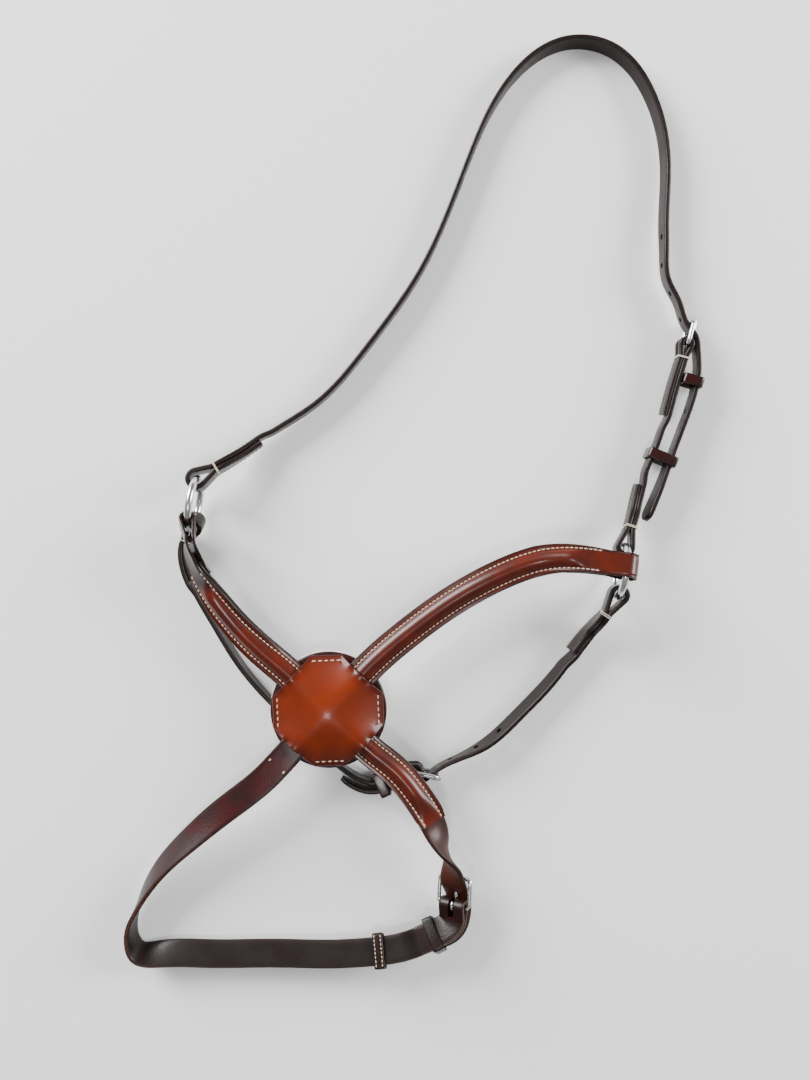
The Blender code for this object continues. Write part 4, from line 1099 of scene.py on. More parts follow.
def strap_profile(width: Callable[[float], float], thickness: float,
                  crown: float = 0.00015) -> Profile:
    """Cross-section of a plain strap with rounded edges and a slightly crowned face.

    Args:
        width: the width at a length.
        thickness: the strap's thickness.
        crown: how far the middle of the face stands up.

    Returns:
        A function of length and out that gives (across, up, rim, flesh) places.
    """
    corner = thickness * 0.32

    def section(s: float, _out: float) -> list[tuple[float, float, float, float]]:
        """Places round the strap at a length.

        Args:
            s: the length.
            _out: not used by a plain strap.

        Returns:
            The places.
        """
        half = width(s) / 2
        flat = half - corner
        top = thickness / 2
        places = []
        for i in range(9):
            across = -flat + 2 * flat * i / 8
            places.append((across, top + crown * cos(pi / 2 * across / half), 0.0, 0.0))
        for i in (1, 2, 3):
            turn = pi / 2 * (1 - i / 3)
            places.append((flat + corner * cos(turn), top - corner + corner * sin(turn),
                           1.0 if i > 1 else 0.35, 0.0))
        for i in (0, 1, 2):
            turn = -pi / 2 * i / 3
            places.append((flat + corner * cos(turn), -top + corner + corner * sin(turn),
                           1.0 if i < 2 else 0.35, 0.3))
        for i in range(7):
            places.append((flat - 2 * flat * i / 6, -top, 0.0, 1.0))
        for i in (1, 2, 3):
            turn = -pi / 2 - pi / 2 * i / 3
            places.append((-flat + corner * cos(turn), -top + corner + corner * sin(turn),
                           1.0 if i > 1 else 0.35, 0.3))
        for i in (0, 1, 2):
            turn = pi - pi / 2 * i / 3
            places.append((-flat + corner * cos(turn), top - corner + corner * sin(turn),
                           1.0 if i < 2 else 0.35, 0.0))
        return places

    return section


def padded_profile(width: Callable[[float], float], thickness: float,
                   lift: Callable[[float, float], float], row: float) -> Profile:
    """Cross-section of an arm's top: raised middle, sunk stitch rows and thin edges.

    Args:
        width: the width at a length.
        thickness: the leather's thickness.
        lift: the padding's height at a length and out.
        row: distance of a stitch row from the middle.

    Returns:
        A function of length and out that gives (across, up, rim, flesh) places.
    """
    plain = strap_profile(width, thickness, 0.0)
    groove, spread = 0.00042, 0.00055

    def section(s: float, out: float) -> list[tuple[float, float, float, float]]:
        """Places round the padded arm at a length.

        Args:
            s: the length.
            out: distance out of the face.

        Returns:
            The places.
        """
        places = []
        half = width(s) / 2
        corner = thickness * 0.32
        flat = half - corner
        for i in range(41):
            across = -flat + 2 * flat * i / 40
            share = min(1.0, abs(across) / (PADDING_WIDTH / 2))
            raised = lift(s, out) * (cos(pi / 2 * share) ** 0.7 if share < 1 else 0.0)
            sunk = groove * exp(-((abs(across) - row) / spread) ** 2) if out > 0 else 0.0
            places.append((across, thickness / 2 + raised - sunk, 0.0, 0.0))
        return places + plain(s, out)[9:]

    return section


def loft(name: str, route: Route, view: list[Row], profile: Profile,
         paint: bpy.types.Material,
         shade: Callable[[float], float] = lambda s: 0.0) -> bpy.types.Object:
    """A closed ribbon: a cross-section carried along a side view of a route.

    Args:
        name: the piece's name.
        route: the line that it follows.
        view: places (s, out) of the strap's middle.
        profile: the cross-section.
        paint: the material.
        shade: how dark the face is at a length, from 0 to 1.

    Returns:
        The object.
    """
    rows = np.array(view)
    keep = np.concatenate(([True], np.linalg.norm(np.diff(rows, axis=0), axis=1) > 1e-5))
    rows = rows[keep]
    slopes = np.gradient(rows, axis=0)
    points, marks = [], {"rim": [], "flesh": [], "shaded": []}
    for (s, out), (run, rise) in zip(rows, slopes):
        point, along, width, face = route.frame(float(s))
        size = hypot(run, rise)
        normal = (face * (run / size) - along * (rise / size))
        section = profile(float(s), float(out))
        widest = max(across for across, _, _, _ in section)
        for across, up, rim, flesh in section:
            points.append(point + face * float(out) + width * across + normal * up)
            marks["rim"].append(rim)
            marks["flesh"].append(flesh)
            # Painted shade: the face darkens within 2.6 mm of each edge, and along the strap
            # wherever shade gives it.
            edge = 0.85 * max(0.0, 1 - (widest - abs(across)) / 0.0026)
            marks["shaded"].append(max(edge, shade(float(s))))
    size = len(section)
    faces = []
    for i in range(len(rows) - 1):
        for j in range(size):
            k = (j + 1) % size
            faces.append([i * size + j, i * size + k, (i + 1) * size + k, (i + 1) * size + j])
    faces.append(list(range(size))[::-1])
    faces.append([(len(rows) - 1) * size + j for j in range(size)])
    return finish_mesh(name, np.array([tuple(p) for p in points]), faces, marks, paint)


def tube(name: str, points: Sequence[Vector], radius: float, paint: bpy.types.Material,
         closed: bool = False, sides: int = 14,
         flatten: Optional[Callable[[int], float]] = None) -> bpy.types.Object:
    """A round wire through points.

    Args:
        name: the piece's name.
        points: the middle of the wire.
        radius: the wire's radius.
        paint: the material.
        closed: whether the ends meet.
        sides: how many places go round the wire.
        flatten: share of the radius at a point, for a wire that swells or thins.

    Returns:
        The object.
    """
    line = [Vector(point) for point in points]
    count = len(line)
    places, faces = [], []
    normal = Vector((0, 0, 1))
    if abs((line[1] - line[0]).normalized().dot(normal)) > 0.9:
        normal = Vector((1, 0, 0))
    for i in range(count):
        before = line[i - 1] if closed or i else line[0]
        after = line[(i + 1) % count] if closed or i < count - 1 else line[-1]
        along = (after - before).normalized()
        normal = (normal - along * normal.dot(along)).normalized()
        side = along.cross(normal)
        size = radius * (flatten(i) if flatten else 1.0)
        for j in range(sides):
            turn = 2 * pi * j / sides
            places.append(line[i] + (normal * cos(turn) + side * sin(turn)) * size)
    loops = count if closed else count - 1
    for i in range(loops):
        for j in range(sides):
            k, n = (j + 1) % sides, (i + 1) % count
            faces.append([i * sides + j, i * sides + k, n * sides + k, n * sides + j])
    if not closed:
        faces.append(list(range(sides))[::-1])
        faces.append([(count - 1) * sides + j for j in range(sides)])
    return finish_mesh(name, np.array([tuple(p) for p in places]), faces, {}, paint)


def rounded_box(width: float, height: float, radius: float,
                steps: int = 6) -> list[tuple[float, float]]:
    """Points of a rounded rectangle about the origin, evenly enough to sweep along.

    Args:
        width: across.
        height: up.
        radius: of a corner.
        steps: steps in a corner.

    Returns:
        The points.
    """
    points = []
    for quarter, (sx, sy) in enumerate(((1, 1), (-1, 1), (-1, -1), (1, -1))):
        middle = (sx * (width / 2 - radius), sy * (height / 2 - radius))
        for step in range(steps + 1):
            turn = (quarter + step / steps) * pi / 2
            points.append((middle[0] + radius * cos(turn), middle[1] + radius * sin(turn)))
    return points


def band_matrix(route: Route, s: float, out: float = 0.0) -> Matrix:
    """Matrix for a band round a strap: X across, Y out of the face, Z along.

    Args:
        route: the strap's line.
        s: the length.
        out: distance out of the face.

    Returns:
        The matrix.
    """
    _, along, width, face = route.frame(s)
    turn = Matrix((width, face, -along)).transposed().to_4x4()
    return Matrix.Translation(route.spot(s, out)) @ turn


def keeper_loop(name: str, opening: Row, length: float, thickness: float, matrix: Matrix,
                paint: bpy.types.Material) -> bpy.types.Object:
    """A leather loop with rounded edges and a domed outer face.

    Args:
        name: the piece's name.
        opening: width and height inside.
        length: how wide the band is, along the strap.
        thickness: the band's thickness.
        matrix: its place, Z along the strap.
        paint: the material.

    Returns:
        The object.
    """
    width, height = opening
    corner = thickness * 0.4
    inner = rounded_box(width, height, corner)
    outer = rounded_box(width + 2 * thickness, height + 2 * thickness, corner + thickness)
    edge = thickness * 0.38
    outline = []
    for i in range(9):
        t = -1 + 2 * i / 8
        outline.append((1.0 - 0.06 * t * t, t * (length / 2 - edge), 0.0, 0.0))
    outline += [(0.86, length / 2 - edge * 0.35, 0.7, 0.0), (0.55, length / 2, 1.0, 0.0),
                (0.14, length / 2 - edge * 0.4, 0.7, 0.5)]
    outline += [(0.0, length / 2 - edge, 0.0, 1.0), (0.0, -length / 2 + edge, 0.0, 1.0)]
    outline += [(0.14, -length / 2 + edge * 0.4, 0.7, 0.5), (0.55, -length / 2, 1.0, 0.0),
                (0.86, -length / 2 + edge * 0.35, 0.7, 0.0)]
    points, marks = [], {"rim": [], "flesh": [], "shaded": []}
    for (ix, iy), (ox, oy) in zip(inner, outer):
        for share, z, rim, flesh in outline:
            points.append(matrix @ Vector((ix + (ox - ix) * share, iy + (oy - iy) * share, z)))
            marks["rim"].append(rim)
            marks["flesh"].append(flesh)
            # Painted shade darkens the band within 1.2 mm of each of its edges.
            marks["shaded"].append(max(0.0, 1 - (length / 2 - abs(z)) / 0.0012))
    count, size = len(inner), len(outline)
    faces = []
    for i in range(count):
        for j in range(size):
            n, k = (i + 1) % count, (j + 1) % size
            faces.append([i * size + j, i * size + k, n * size + k, n * size + j])
    return finish_mesh(name, np.array([tuple(p) for p in points]), faces, marks, paint)


def lathe(name: str, centre: Vector, outline: Sequence[Row], paint: bpy.types.Material,
          sides: int = 144, ripple: float = 0.0) -> bpy.types.Object:
    """A turned plate from an outline of (radius, height), closed on the axis.

    Args:
        name: the piece's name.
        centre: a point on the axis.
        outline: from the top's middle round to the underside's middle.
        paint: the material.
        sides: how many places go round.
        ripple: how far the edge wanders in and out.

    Returns:
        The object.
    """
    points = [centre + Vector((0, 0, outline[0][1]))]
    marks = [0.0]
    inner = outline[1:-1]
    top = max(radius for radius, _ in outline)
    for radius, height in inner:
        for j in range(sides):
            turn = 2 * pi * j / sides
            wander = ripple * (sin(7 * turn) + sin(17 * turn + 1.0) + 0.6 * sin(41 * turn)) / 2
            reach = radius + wander * (radius / top) ** 8
            points.append(centre + Vector((reach * cos(turn), reach * sin(turn), height)))
            marks.append(1.0 if radius > top - 0.0004 else 0.0)
    points.append(centre + Vector((0, 0, outline[-1][1])))
    marks.append(0.0)
    faces = [[0, 1 + j, 1 + (j + 1) % sides] for j in range(sides)]
    for i in range(len(inner) - 1):
        for j in range(sides):
            k = (j + 1) % sides
            a, b = 1 + i * sides, 1 + (i + 1) * sides
            faces.append([a + j, b + j, b + k, a + k])
    last, base = len(points) - 1, 1 + (len(inner) - 1) * sides
    faces += [[last, base + (j + 1) % sides, base + j] for j in range(sides)]
    zero = [0.0] * len(points)
    # The outer rim's mark serves both as cut edge and as painted shade.
    return finish_mesh(name, np.array([tuple(p) for p in points]), faces,
                       {"rim": marks, "flesh": zero, "shaded": marks}, paint)


# ---- stitches by geometry nodes -------------------------------------------------------


class Stitcher:
    """Lays rounded stitches along rows with one geometry node tree."""

    def __init__(self) -> None:
        """Build the tree: evenly spaced points along each row, a stitch on each."""
        tree = bpy.data.node_groups.new("stitch_rows", "GeometryNodeTree")
        self.tree = tree
        Paint.socket(tree, "Geometry", "Geometry")
        for name, value in (("Pitch", 0.003), ("Length", 0.0022), ("Thread", 0.0008)):
            Paint.socket(tree, name, "Float", value=value)
        Paint.socket(tree, "Material", "Material")
        Paint.socket(tree, "Geometry", "Geometry", out=True)
        node, link = tree.nodes.new, tree.links.new
        start, end = node("NodeGroupInput"), node("NodeGroupOutput")
        points = node("GeometryNodeCurveToPoints")
        points.mode = "LENGTH"
        ball = node("GeometryNodeMeshUVSphere")
        ball.inputs["Segments"].default_value = 8
        ball.inputs["Rings"].default_value = 6
        ball.inputs["Radius"].default_value = 0.5
        size = node("ShaderNodeCombineXYZ")
        place = node("GeometryNodeInstanceOnPoints")
        real = node("GeometryNodeRealizeInstances")
        smooth = node("GeometryNodeSetShadeSmooth")
        paint = node("GeometryNodeSetMaterial")
        link(start.outputs["Geometry"], points.inputs["Curve"])
        link(start.outputs["Pitch"], points.inputs["Length"])
        link(start.outputs["Thread"], size.inputs["X"])
        link(start.outputs["Thread"], size.inputs["Y"])
        link(start.outputs["Length"], size.inputs["Z"])
        link(points.outputs["Points"], place.inputs["Points"])
        link(points.outputs["Rotation"], place.inputs["Rotation"])
        link(ball.outputs["Mesh"], place.inputs["Instance"])
        link(size.outputs["Vector"], place.inputs["Scale"])
        link(place.outputs["Instances"], real.inputs["Geometry"])
        link(real.outputs["Geometry"], smooth.inputs["Geometry"])
        link(smooth.outputs["Geometry"], paint.inputs["Geometry"])
        link(start.outputs["Material"], paint.inputs["Material"])
        link(paint.outputs["Geometry"], end.inputs["Geometry"])

    def sew(self, name: str, rows: Sequence[Sequence[Vector]], paint: bpy.types.Material,
            pitch: float = 0.003, length: float = 0.0023,
            thread: float = 0.00085) -> bpy.types.Object:
        """Sew rows of stitches as one mesh.

        Args:
            name: the piece's name.
            rows: the line of each row.
            paint: the thread's material.
            pitch: from one stitch to the next.
            length: of one stitch.
            thread: how thick a stitch is.

        Returns:
            The object.
        """
        curve = bpy.data.curves.new(name + "_line", "CURVE")
        curve.dimensions = "3D"
        for row in rows:
            line = curve.splines.new("POLY")
            line.points.add(len(row) - 1)
            for place, point in zip(line.points, row):
                place.co = (*point, 1.0)
        guide = bpy.data.objects.new(name + "_line", curve)
        bpy.context.scene.collection.objects.link(guide)
        work = guide.modifiers.new("stitches", "NODES")
        values = {"Pitch": pitch, "Length": length, "Thread": thread, "Material": paint}
        sockets = {item.name: item.identifier for item in self.tree.interface.items_tree
                   if item.in_out == "INPUT"}
        work.node_group = self.tree
        for key, value in values.items():
            work[sockets[key]] = value
        bpy.context.view_layer.update()
        ready = guide.evaluated_get(bpy.context.evaluated_depsgraph_get())
        mesh = bpy.data.meshes.new_from_object(ready)
        mesh.name = name
        guide.modifiers.clear()
        bpy.data.objects.remove(guide, do_unlink=True)
        thing = bpy.data.objects.new(name, mesh)
        bpy.context.scene.collection.objects.link(thing)
        return thing


# ---- the headcollar's sub-assemblies --------------------------------------------------


@dataclass
class Workshop:
    """What every sub-assembly works with."""

    paint: Paint = field(default_factory=Paint)
    stitcher: Stitcher = field(default_factory=Stitcher)

    def fit(self, piece: bpy.types.Object, body: str, slot: str, *nodes: str) -> None:
        """Fix a finished piece to its body and hide the nodes that it stands for.

        Args:
            piece: the finished piece.
            body: the body that carries it.
            slot: not used.
            nodes: the nodes that it replaces.
        """
        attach(piece, body)
        if nodes:
            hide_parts(*nodes)
        LOG.info("%s: %d faces on %s", piece.name, len(piece.data.polygons), body)

    def punched(self, piece: bpy.types.Object, route: Route, places: Sequence[float],
                radius: float = PUNCH / 2) -> None:
        """Cut round holes through a strap's face.

        Args:
            piece: the strap.
            route: its line.
            places: lengths of the holes.
            radius: of a hole.
        """
        for s in places:
            self.bored(piece, route.matrix(s), radius)

    @staticmethod
    def bored(piece: bpy.types.Object, matrix: Matrix, radius: float,
              length: float = 0.012) -> None:
        """Cut one round hole along a matrix's Z.

        Args:
            piece: the strap.
            matrix: place of the hole.
            radius: of the hole.
            length: of the hole.
        """
        work = bmesh.new()
        bmesh.ops.create_cone(work, cap_ends=True, segments=28, radius1=radius,
                              radius2=radius, depth=length)
        cut_away(piece, work, matrix, "hole")


def cut_away(piece: bpy.types.Object, work: bmesh.types.BMesh, matrix: Matrix,
             name: str) -> None:
    """Cut a closed shape out of a piece, and mark the cut walls with painted shade.

    Args:
        piece: the piece to cut.
        work: the shape, which is used up.
        matrix: where the shape goes.
        name: what the cut is called.
    """
    work.transform(matrix)
    mesh = bpy.data.meshes.new(name)
    work.to_mesh(mesh)
    work.free()
    darken(mesh)
    cutter = bpy.data.objects.new(name, mesh)
    bpy.context.scene.collection.objects.link(cutter)
    knife = piece.modifiers.new(name, "BOOLEAN")
    knife.operation = "DIFFERENCE"
    knife.object = cutter
    bpy.context.view_layer.update()
    ready = piece.evaluated_get(bpy.context.evaluated_depsgraph_get())
    done = bpy.data.meshes.new_from_object(ready)
    piece.modifiers.clear()
    piece.data = done
    bpy.data.objects.remove(cutter, do_unlink=True)


def steady(width: float) -> Callable[[float], float]:
    """A width that stays the same along a strap."""
    return lambda s: width


def between(first: float, last: float, most: float) -> Callable[[float], float]:
    """A shade that grows from nothing at one length to its most at another.

    Args:
        first: length where it starts.
        last: length where it is at its most.
        most: the most.

    Returns:
        The shade at a length.
    """

    def at(s: float) -> float:
        """Shade at a length."""
        share = min(1.0, max(0.0, (s - first) / (last - first)))
        return most * share * share * (3 - 2 * share)

    return at


def rounded_tip(end: float, width: float) -> Callable[[float], float]:
    """A width that narrows to a rounded tip at a strap's end.

    Args:
        end: the strap's length.
        width: its width.

    Returns:
        The width at a length.
    """
    radius = width / 2

    def at(s: float) -> float:
        """Width at a length."""
        inside = (s - (end - radius)) / radius
        return width if inside <= 0 else width * max(0.24, (1 - min(inside, 1.0) ** 2) ** 0.5)

    return at


def whip_rows(route: Route, s: float, width: float, stack: float,
              turns: int = 2) -> list[list[Vector]]:
    """Lines of thread wound round a doubled strap.

    Args:
        route: the strap's line.
        s: the length.
        width: the strap's width.
        stack: thickness of the doubled strap.
        turns: of thread.

    Returns:
        One closed row for each turn.
    """
    rows = []
    for turn in range(turns):
        place = band_matrix(route, s + (turn - (turns - 1) / 2) * 0.00055)
        outline = rounded_box(width + 0.0007, stack + 0.0007, 0.0008, 3)
        row = [place @ Vector((x, y, 0.0)) for x, y in outline]
        rows.append(row + row[:1])
    return rows


def whip(shop: Workshop, body: str, ends: Sequence[tuple[str, Route, float]]) -> None:
    """Wind and fix the whipped threads of a head or jaw strap.

    Args:
        shop: the workshop.
        body: the moving body that they ride on.
        ends: each thread's solid, its route and its length along it.
    """
    thread = shop.paint.thread(PALE)
    for name, route, s in ends:
        rows = whip_rows(route, s, HEAD_WIDTH, 2 * HEAD_THICK + TOUCH)
        piece = shop.stitcher.sew(name + "_thread", rows, thread, 0.0008, 0.0012, 0.00055)
        shop.fit(piece, body, "waxed_thread", name)


def sew_ends(shop: Workshop, body: str, name: str,
             ends: Sequence[tuple[Route, float, float]]) -> None:
    """Sew both edges and both faces of the doubled ends of a head or jaw strap.

    Args:
        shop: the workshop.
        body: the moving body that the stitches ride on.
        name: what the stitches are called.
        ends: each end's route, and its first and last length.
    """
    rows = []
    edge = HEAD_WIDTH / 2 - EDGE_INSET
    for route, first, last in ends:
        for sign in (-1, 1):
            for face in (-1, 1):
                out = face * (HEAD_THICK + TOUCH / 2 + 0.00005)
                rows.append([route.spot(s, out, sign * edge) for s in runs(first, last)])
    piece = shop.stitcher.sew(name, rows, shop.paint.thread(BROWN), 0.003, 0.0022, 0.0007)
    shop.fit(piece, body, "waxed_thread")


@dataclass
class Hardware:
    """The rings, and the frame and tongue of each buckle."""

    shop: Workshop

    def ring(self, side: Side) -> None:
        """Build one cheek ring.

        Args:
            side: which ring.
        """
        centre = ring_centre(side)
        steps = 128
        line = [centre + Vector((0, cos(2 * pi * i / steps), sin(2 * pi * i / steps)))
                * RING_RADIUS for i in range(steps)]
        name = side.name.lower() + "_ring"
        piece = tube(name + "_bright", line, RING_WIRE / 2, self.shop.paint.steel(STEEL),
                     closed=True, sides=28)
        self.shop.fit(piece, name, "steel", name)

    def buckle(self, buckle: Buckle) -> None:
        """Build a buckle's frame and tongue.

        Args:
            buckle: the buckle's sizes and place.
        """
        steel = self.shop.paint.steel(STEEL)
        place = buckle.route.matrix(buckle.heel)
        across = buckle.width + 2 * BUCKLE_SIDE_GAP + BUCKLE_WIRE
        outline = rounded_box(across, buckle.length, 0.0032, 8)
        line = [place @ Vector((x, y + buckle.length / 2, 0.0)) for x, y in outline]
        dense = []
        for first, second in zip(line, line[1:] + line[:1]):
            count = max(1, round((second - first).length / 0.0012))
            dense += [first.lerp(second, i / count) for i in range(count)]
        frame = tube(buckle.name + "_frame_bright", dense, BUCKLE_BAR, steel, closed=True,
                     sides=20)
        self.shop.fit(frame, buckle.name + "_frame", "steel", buckle.name + "_frame")
        turns = runs(radians(318), radians(90), 0.16)
        points = [Vector((0.0, buckle.eye * cos(turn), buckle.eye * sin(turn)))
                  for turn in turns]
        straight = [Vector((0.0, buckle.length * i / 14, buckle.eye)) for i in range(1, 15)]
        points += straight
        points.append(Vector((0.0, buckle.length + TONGUE_WIRE * 0.5, buckle.eye * 0.92)))
        points.append(Vector((0.0, buckle.length + TONGUE_WIRE, buckle.eye * 0.8)))
        last = len(points)
        tongue = tube(buckle.name + "_tongue_bright", [place @ point for point in points],
                      TONGUE_WIRE / 2, steel, sides=18,
                      flatten=lambda i: 0.8 if i == last - 1 else 1.0)
        self.shop.fit(tongue, buckle.name + "_tongue", "steel", buckle.name + "_tongue")


def slotted(piece: bpy.types.Object, buckle: Buckle) -> None:
    """Cut the tongue's slot through the strap that carries a buckle.

    Args:
        piece: the strap.
        buckle: its buckle.
    """
    long = 2 * (BUCKLE_BAR + LOOP_EASE + buckle.thickness) + 0.004
    work = bmesh.new()
    bmesh.ops.create_cube(work, size=1.0)
    bmesh.ops.scale(work, vec=(TONGUE_WIRE + 2 * EASE, long, long), verts=work.verts)
    cut_away(piece, work, buckle.route.matrix(buckle.heel), "slot")


def tongue_hole(buckle: Buckle, thickness: float) -> Matrix:
    """Where the tongue passes through the billet.

    Args:
        buckle: the buckle.
        thickness: the billet's thickness.

    Returns:
        The hole's matrix.
    """
    slope, _, over = buckle.crossing(thickness)
    place = (over - buckle.eye * cos(slope)) / sin(slope)
    middle = buckle.route.matrix(buckle.heel) @ Matrix.Translation((0, place, buckle.eye))
    return middle @ Matrix.Rotation(pi / 2, 4, "X")


@dataclass
class Headpiece:
    """Crown strap, cheek strap, head buckle and keepers."""

    shop: Workshop
    body: str = "headpiece"
    cheek_back: float = 0.044
    crown_back: float = 0.048

    def build(self) -> None:
        """Build and fix every piece of the headpiece."""
        dark = self.shop.paint.leather(DARK)
        half = (HEAD_THICK + TOUCH) / 2
        cheek, hold = cheek_route()
        buckle = Buckle("head_buckle", cheek, HEAD_BUCKLE_LENGTH, HEAD_WIDTH, HEAD_THICK)
        low = at_start(hold.end(HEAD_WIDTH, HEAD_THICK, half, self.cheek_back), hold.shank)
        high = turned_end(BUCKLE_BAR, 0.0, buckle.shank, half, 0.048, HEAD_THICK)
        high = at_finish(high, cheek.length, buckle.shank)
        middle = [(s, 0.0) for s in runs(low[-1][0], high[0][0])[1:-1]]
        piece = loft("cheek_leather", cheek, low + middle + high,
                     strap_profile(steady(HEAD_WIDTH), HEAD_THICK), dark)
        slotted(piece, buckle)
        self.shop.fit(piece, self.body, "dark_leather", "cheek_strap")

        crown, crown_hold = crown_route(buckle)
        low = crown_hold.end(HEAD_WIDTH, HEAD_THICK, half, self.crown_back)
        low = at_start(low, crown_hold.shank)
        view = low + [(s, 0.0) for s in runs(low[-1][0], crown.length)[1:]]
        piece = loft("crown_leather", crown, view,
                     strap_profile(rounded_tip(crown.length, HEAD_WIDTH), HEAD_THICK), dark)
        through = crown.nearest(cheek.spot(buckle.heel))
        holes = [through - count * PUNCH_PITCH for count in range(1, 5)]
        holes += [through + 0.008 + count * PUNCH_PITCH for count in (1, 2)]
        self.shop.punched(piece, crown, holes)
        self.shop.bored(piece, tongue_hole(buckle, HEAD_THICK), TONGUE_WIRE / 2 + EASE)
        self.shop.fit(piece, self.body, "dark_leather", "crown_strap")
        Hardware(self.shop).buckle(buckle)
        self.dress(crown, cheek)

    def dress(self, crown: Route, cheek: Route) -> None:
        """Add the keepers, the whipped threads and the stitching.

        Args:
            crown: the crown strap's route.
            cheek: the cheek strap's route.
        """
        shop = self.shop
        whip(shop, self.body, (("crown_ring_whipping", crown, 0.0012),
                               ("cheek_ring_whipping", cheek, 0.0012),
                               ("cheek_buckle_whipping", cheek, cheek.length - 0.0012)))
        red = shop.paint.leather(KEEPERS)
        s = cheek.length - 0.014
        face, centre = cheek.frame(s)[3], cheek.spot(s)
        out = (crown.spot(crown.nearest(centre + face * 0.013)) - centre).dot(face)
        low, high = HEAD_THICK + TOUCH / 2 + TOUCH + KEEPER_THICK, out + HEAD_THICK / 2 + 2 * TOUCH
        piece = keeper_loop("head_upper_loop", (HEAD_WIDTH + 2 * TOUCH, high - low),
                            KEEPER_BAND, KEEPER_THICK, band_matrix(cheek, s, (low + high) / 2),
                            red)
        shop.fit(piece, self.body, "keeper_leather", "head_upper_keeper")
        s = cheek.nearest(Vector(head(0.539, 0.232)[:3]))
        face, centre = cheek.frame(s)[3], cheek.spot(s)
        out = (crown.spot(crown.nearest(centre + face * 0.012)) - centre).dot(face)
        low, high = -HEAD_THICK / 2 - EASE, out + HEAD_THICK / 2 + EASE + TOUCH
        piece = keeper_loop("head_lower_loop", (HEAD_WIDTH + 2 * EASE, high - low),
                            KEEPER_BAND, KEEPER_THICK, band_matrix(cheek, s, (low + high) / 2),
                            red)
        shop.fit(piece, "head_lower_keeper", "keeper_leather", "head_lower_keeper")
        sew_ends(shop, self.body, "headpiece_stitches",
                 ((crown, 0.006, self.crown_back - 0.014),
                  (cheek, 0.006, self.cheek_back - 0.014),
                  (cheek, cheek.length - 0.036, cheek.length - 0.006)))


@dataclass
class JawStrap:
    """The thin strap behind the jaw, with its buckle and keeper."""

    shop: Workshop
    body: str = "jaw_strap"
    left_back: float = 0.04
    right_back: float = 0.052

    def build(self) -> None:
        """Build and fix every piece of the jaw strap."""
        dark = self.shop.paint.leather(DARK)
        half = (HEAD_THICK + TOUCH) / 2
        left, hold = jaw_left_route()
        buckle = Buckle("jaw_buckle", left, HEAD_BUCKLE_LENGTH, HEAD_WIDTH, HEAD_THICK)
        low = at_start(hold.end(HEAD_WIDTH, HEAD_THICK, half, self.left_back), hold.shank)
        high = turned_end(BUCKLE_BAR, 0.0, buckle.shank, half, 0.024, HEAD_THICK)
        high = at_finish(high, left.length, buckle.shank)
        middle = [(s, 0.0) for s in runs(low[-1][0], high[0][0])[1:-1]]
        piece = loft("jaw_left_leather", left, low + middle + high,
                     strap_profile(steady(HEAD_WIDTH), HEAD_THICK), dark)
        slotted(piece, buckle)
        self.shop.fit(piece, self.body, "dark_leather", "jaw_strap_left")
        right, right_hold = jaw_right_route(buckle)
        low = right_hold.end(HEAD_WIDTH, HEAD_THICK, half, self.right_back)
        low = at_start(low, right_hold.shank)
        view = low + [(s, 0.0) for s in runs(low[-1][0], right.length)[1:]]
        piece = loft("jaw_right_leather", right, view,
                     strap_profile(rounded_tip(right.length, HEAD_WIDTH), HEAD_THICK), dark)
        through = right.nearest(left.spot(buckle.heel))
        self.shop.punched(piece, right,
                          [through - 0.006 - count * PUNCH_PITCH for count in range(1, 4)])
        self.shop.bored(piece, tongue_hole(buckle, HEAD_THICK), TONGUE_WIRE / 2 + EASE)
        self.shop.fit(piece, self.body, "dark_leather", "jaw_strap_right")
        Hardware(self.shop).buckle(buckle)
        self.dress(left, right, buckle)

    def dress(self, left: Route, right: Route, buckle: Buckle) -> None:
        """Add the keeper, the whipped threads and the stitching.

        Args:
            left: the left strap's route.
            right: the right strap's route.
            buckle: the jaw buckle.
        """
        shop = self.shop
        whip(shop, self.body, (("jaw_left_whipping", left, 0.001),
                               ("jaw_right_whipping", right, 0.0012)))
        _, _, over = buckle.crossing(HEAD_THICK)
        low, high = -HEAD_THICK - TOUCH / 2 - 1.6 * EASE, over + HEAD_THICK / 2 + EASE
        piece = keeper_loop("jaw_loop", (HEAD_WIDTH + 2.4 * EASE, high - low), KEEPER_BAND,
                            KEEPER_THICK,
                            band_matrix(left, buckle.heel - 0.026, (low + high) / 2),
                            shop.paint.leather(KEEPERS))
        shop.fit(piece, "jaw_keeper", "keeper_leather", "jaw_keeper")
        sew_ends(shop, self.body, "jaw_stitches", ((left, 0.006, self.left_back - 0.014),
                                                   (right, 0.006, self.right_back - 0.014)))


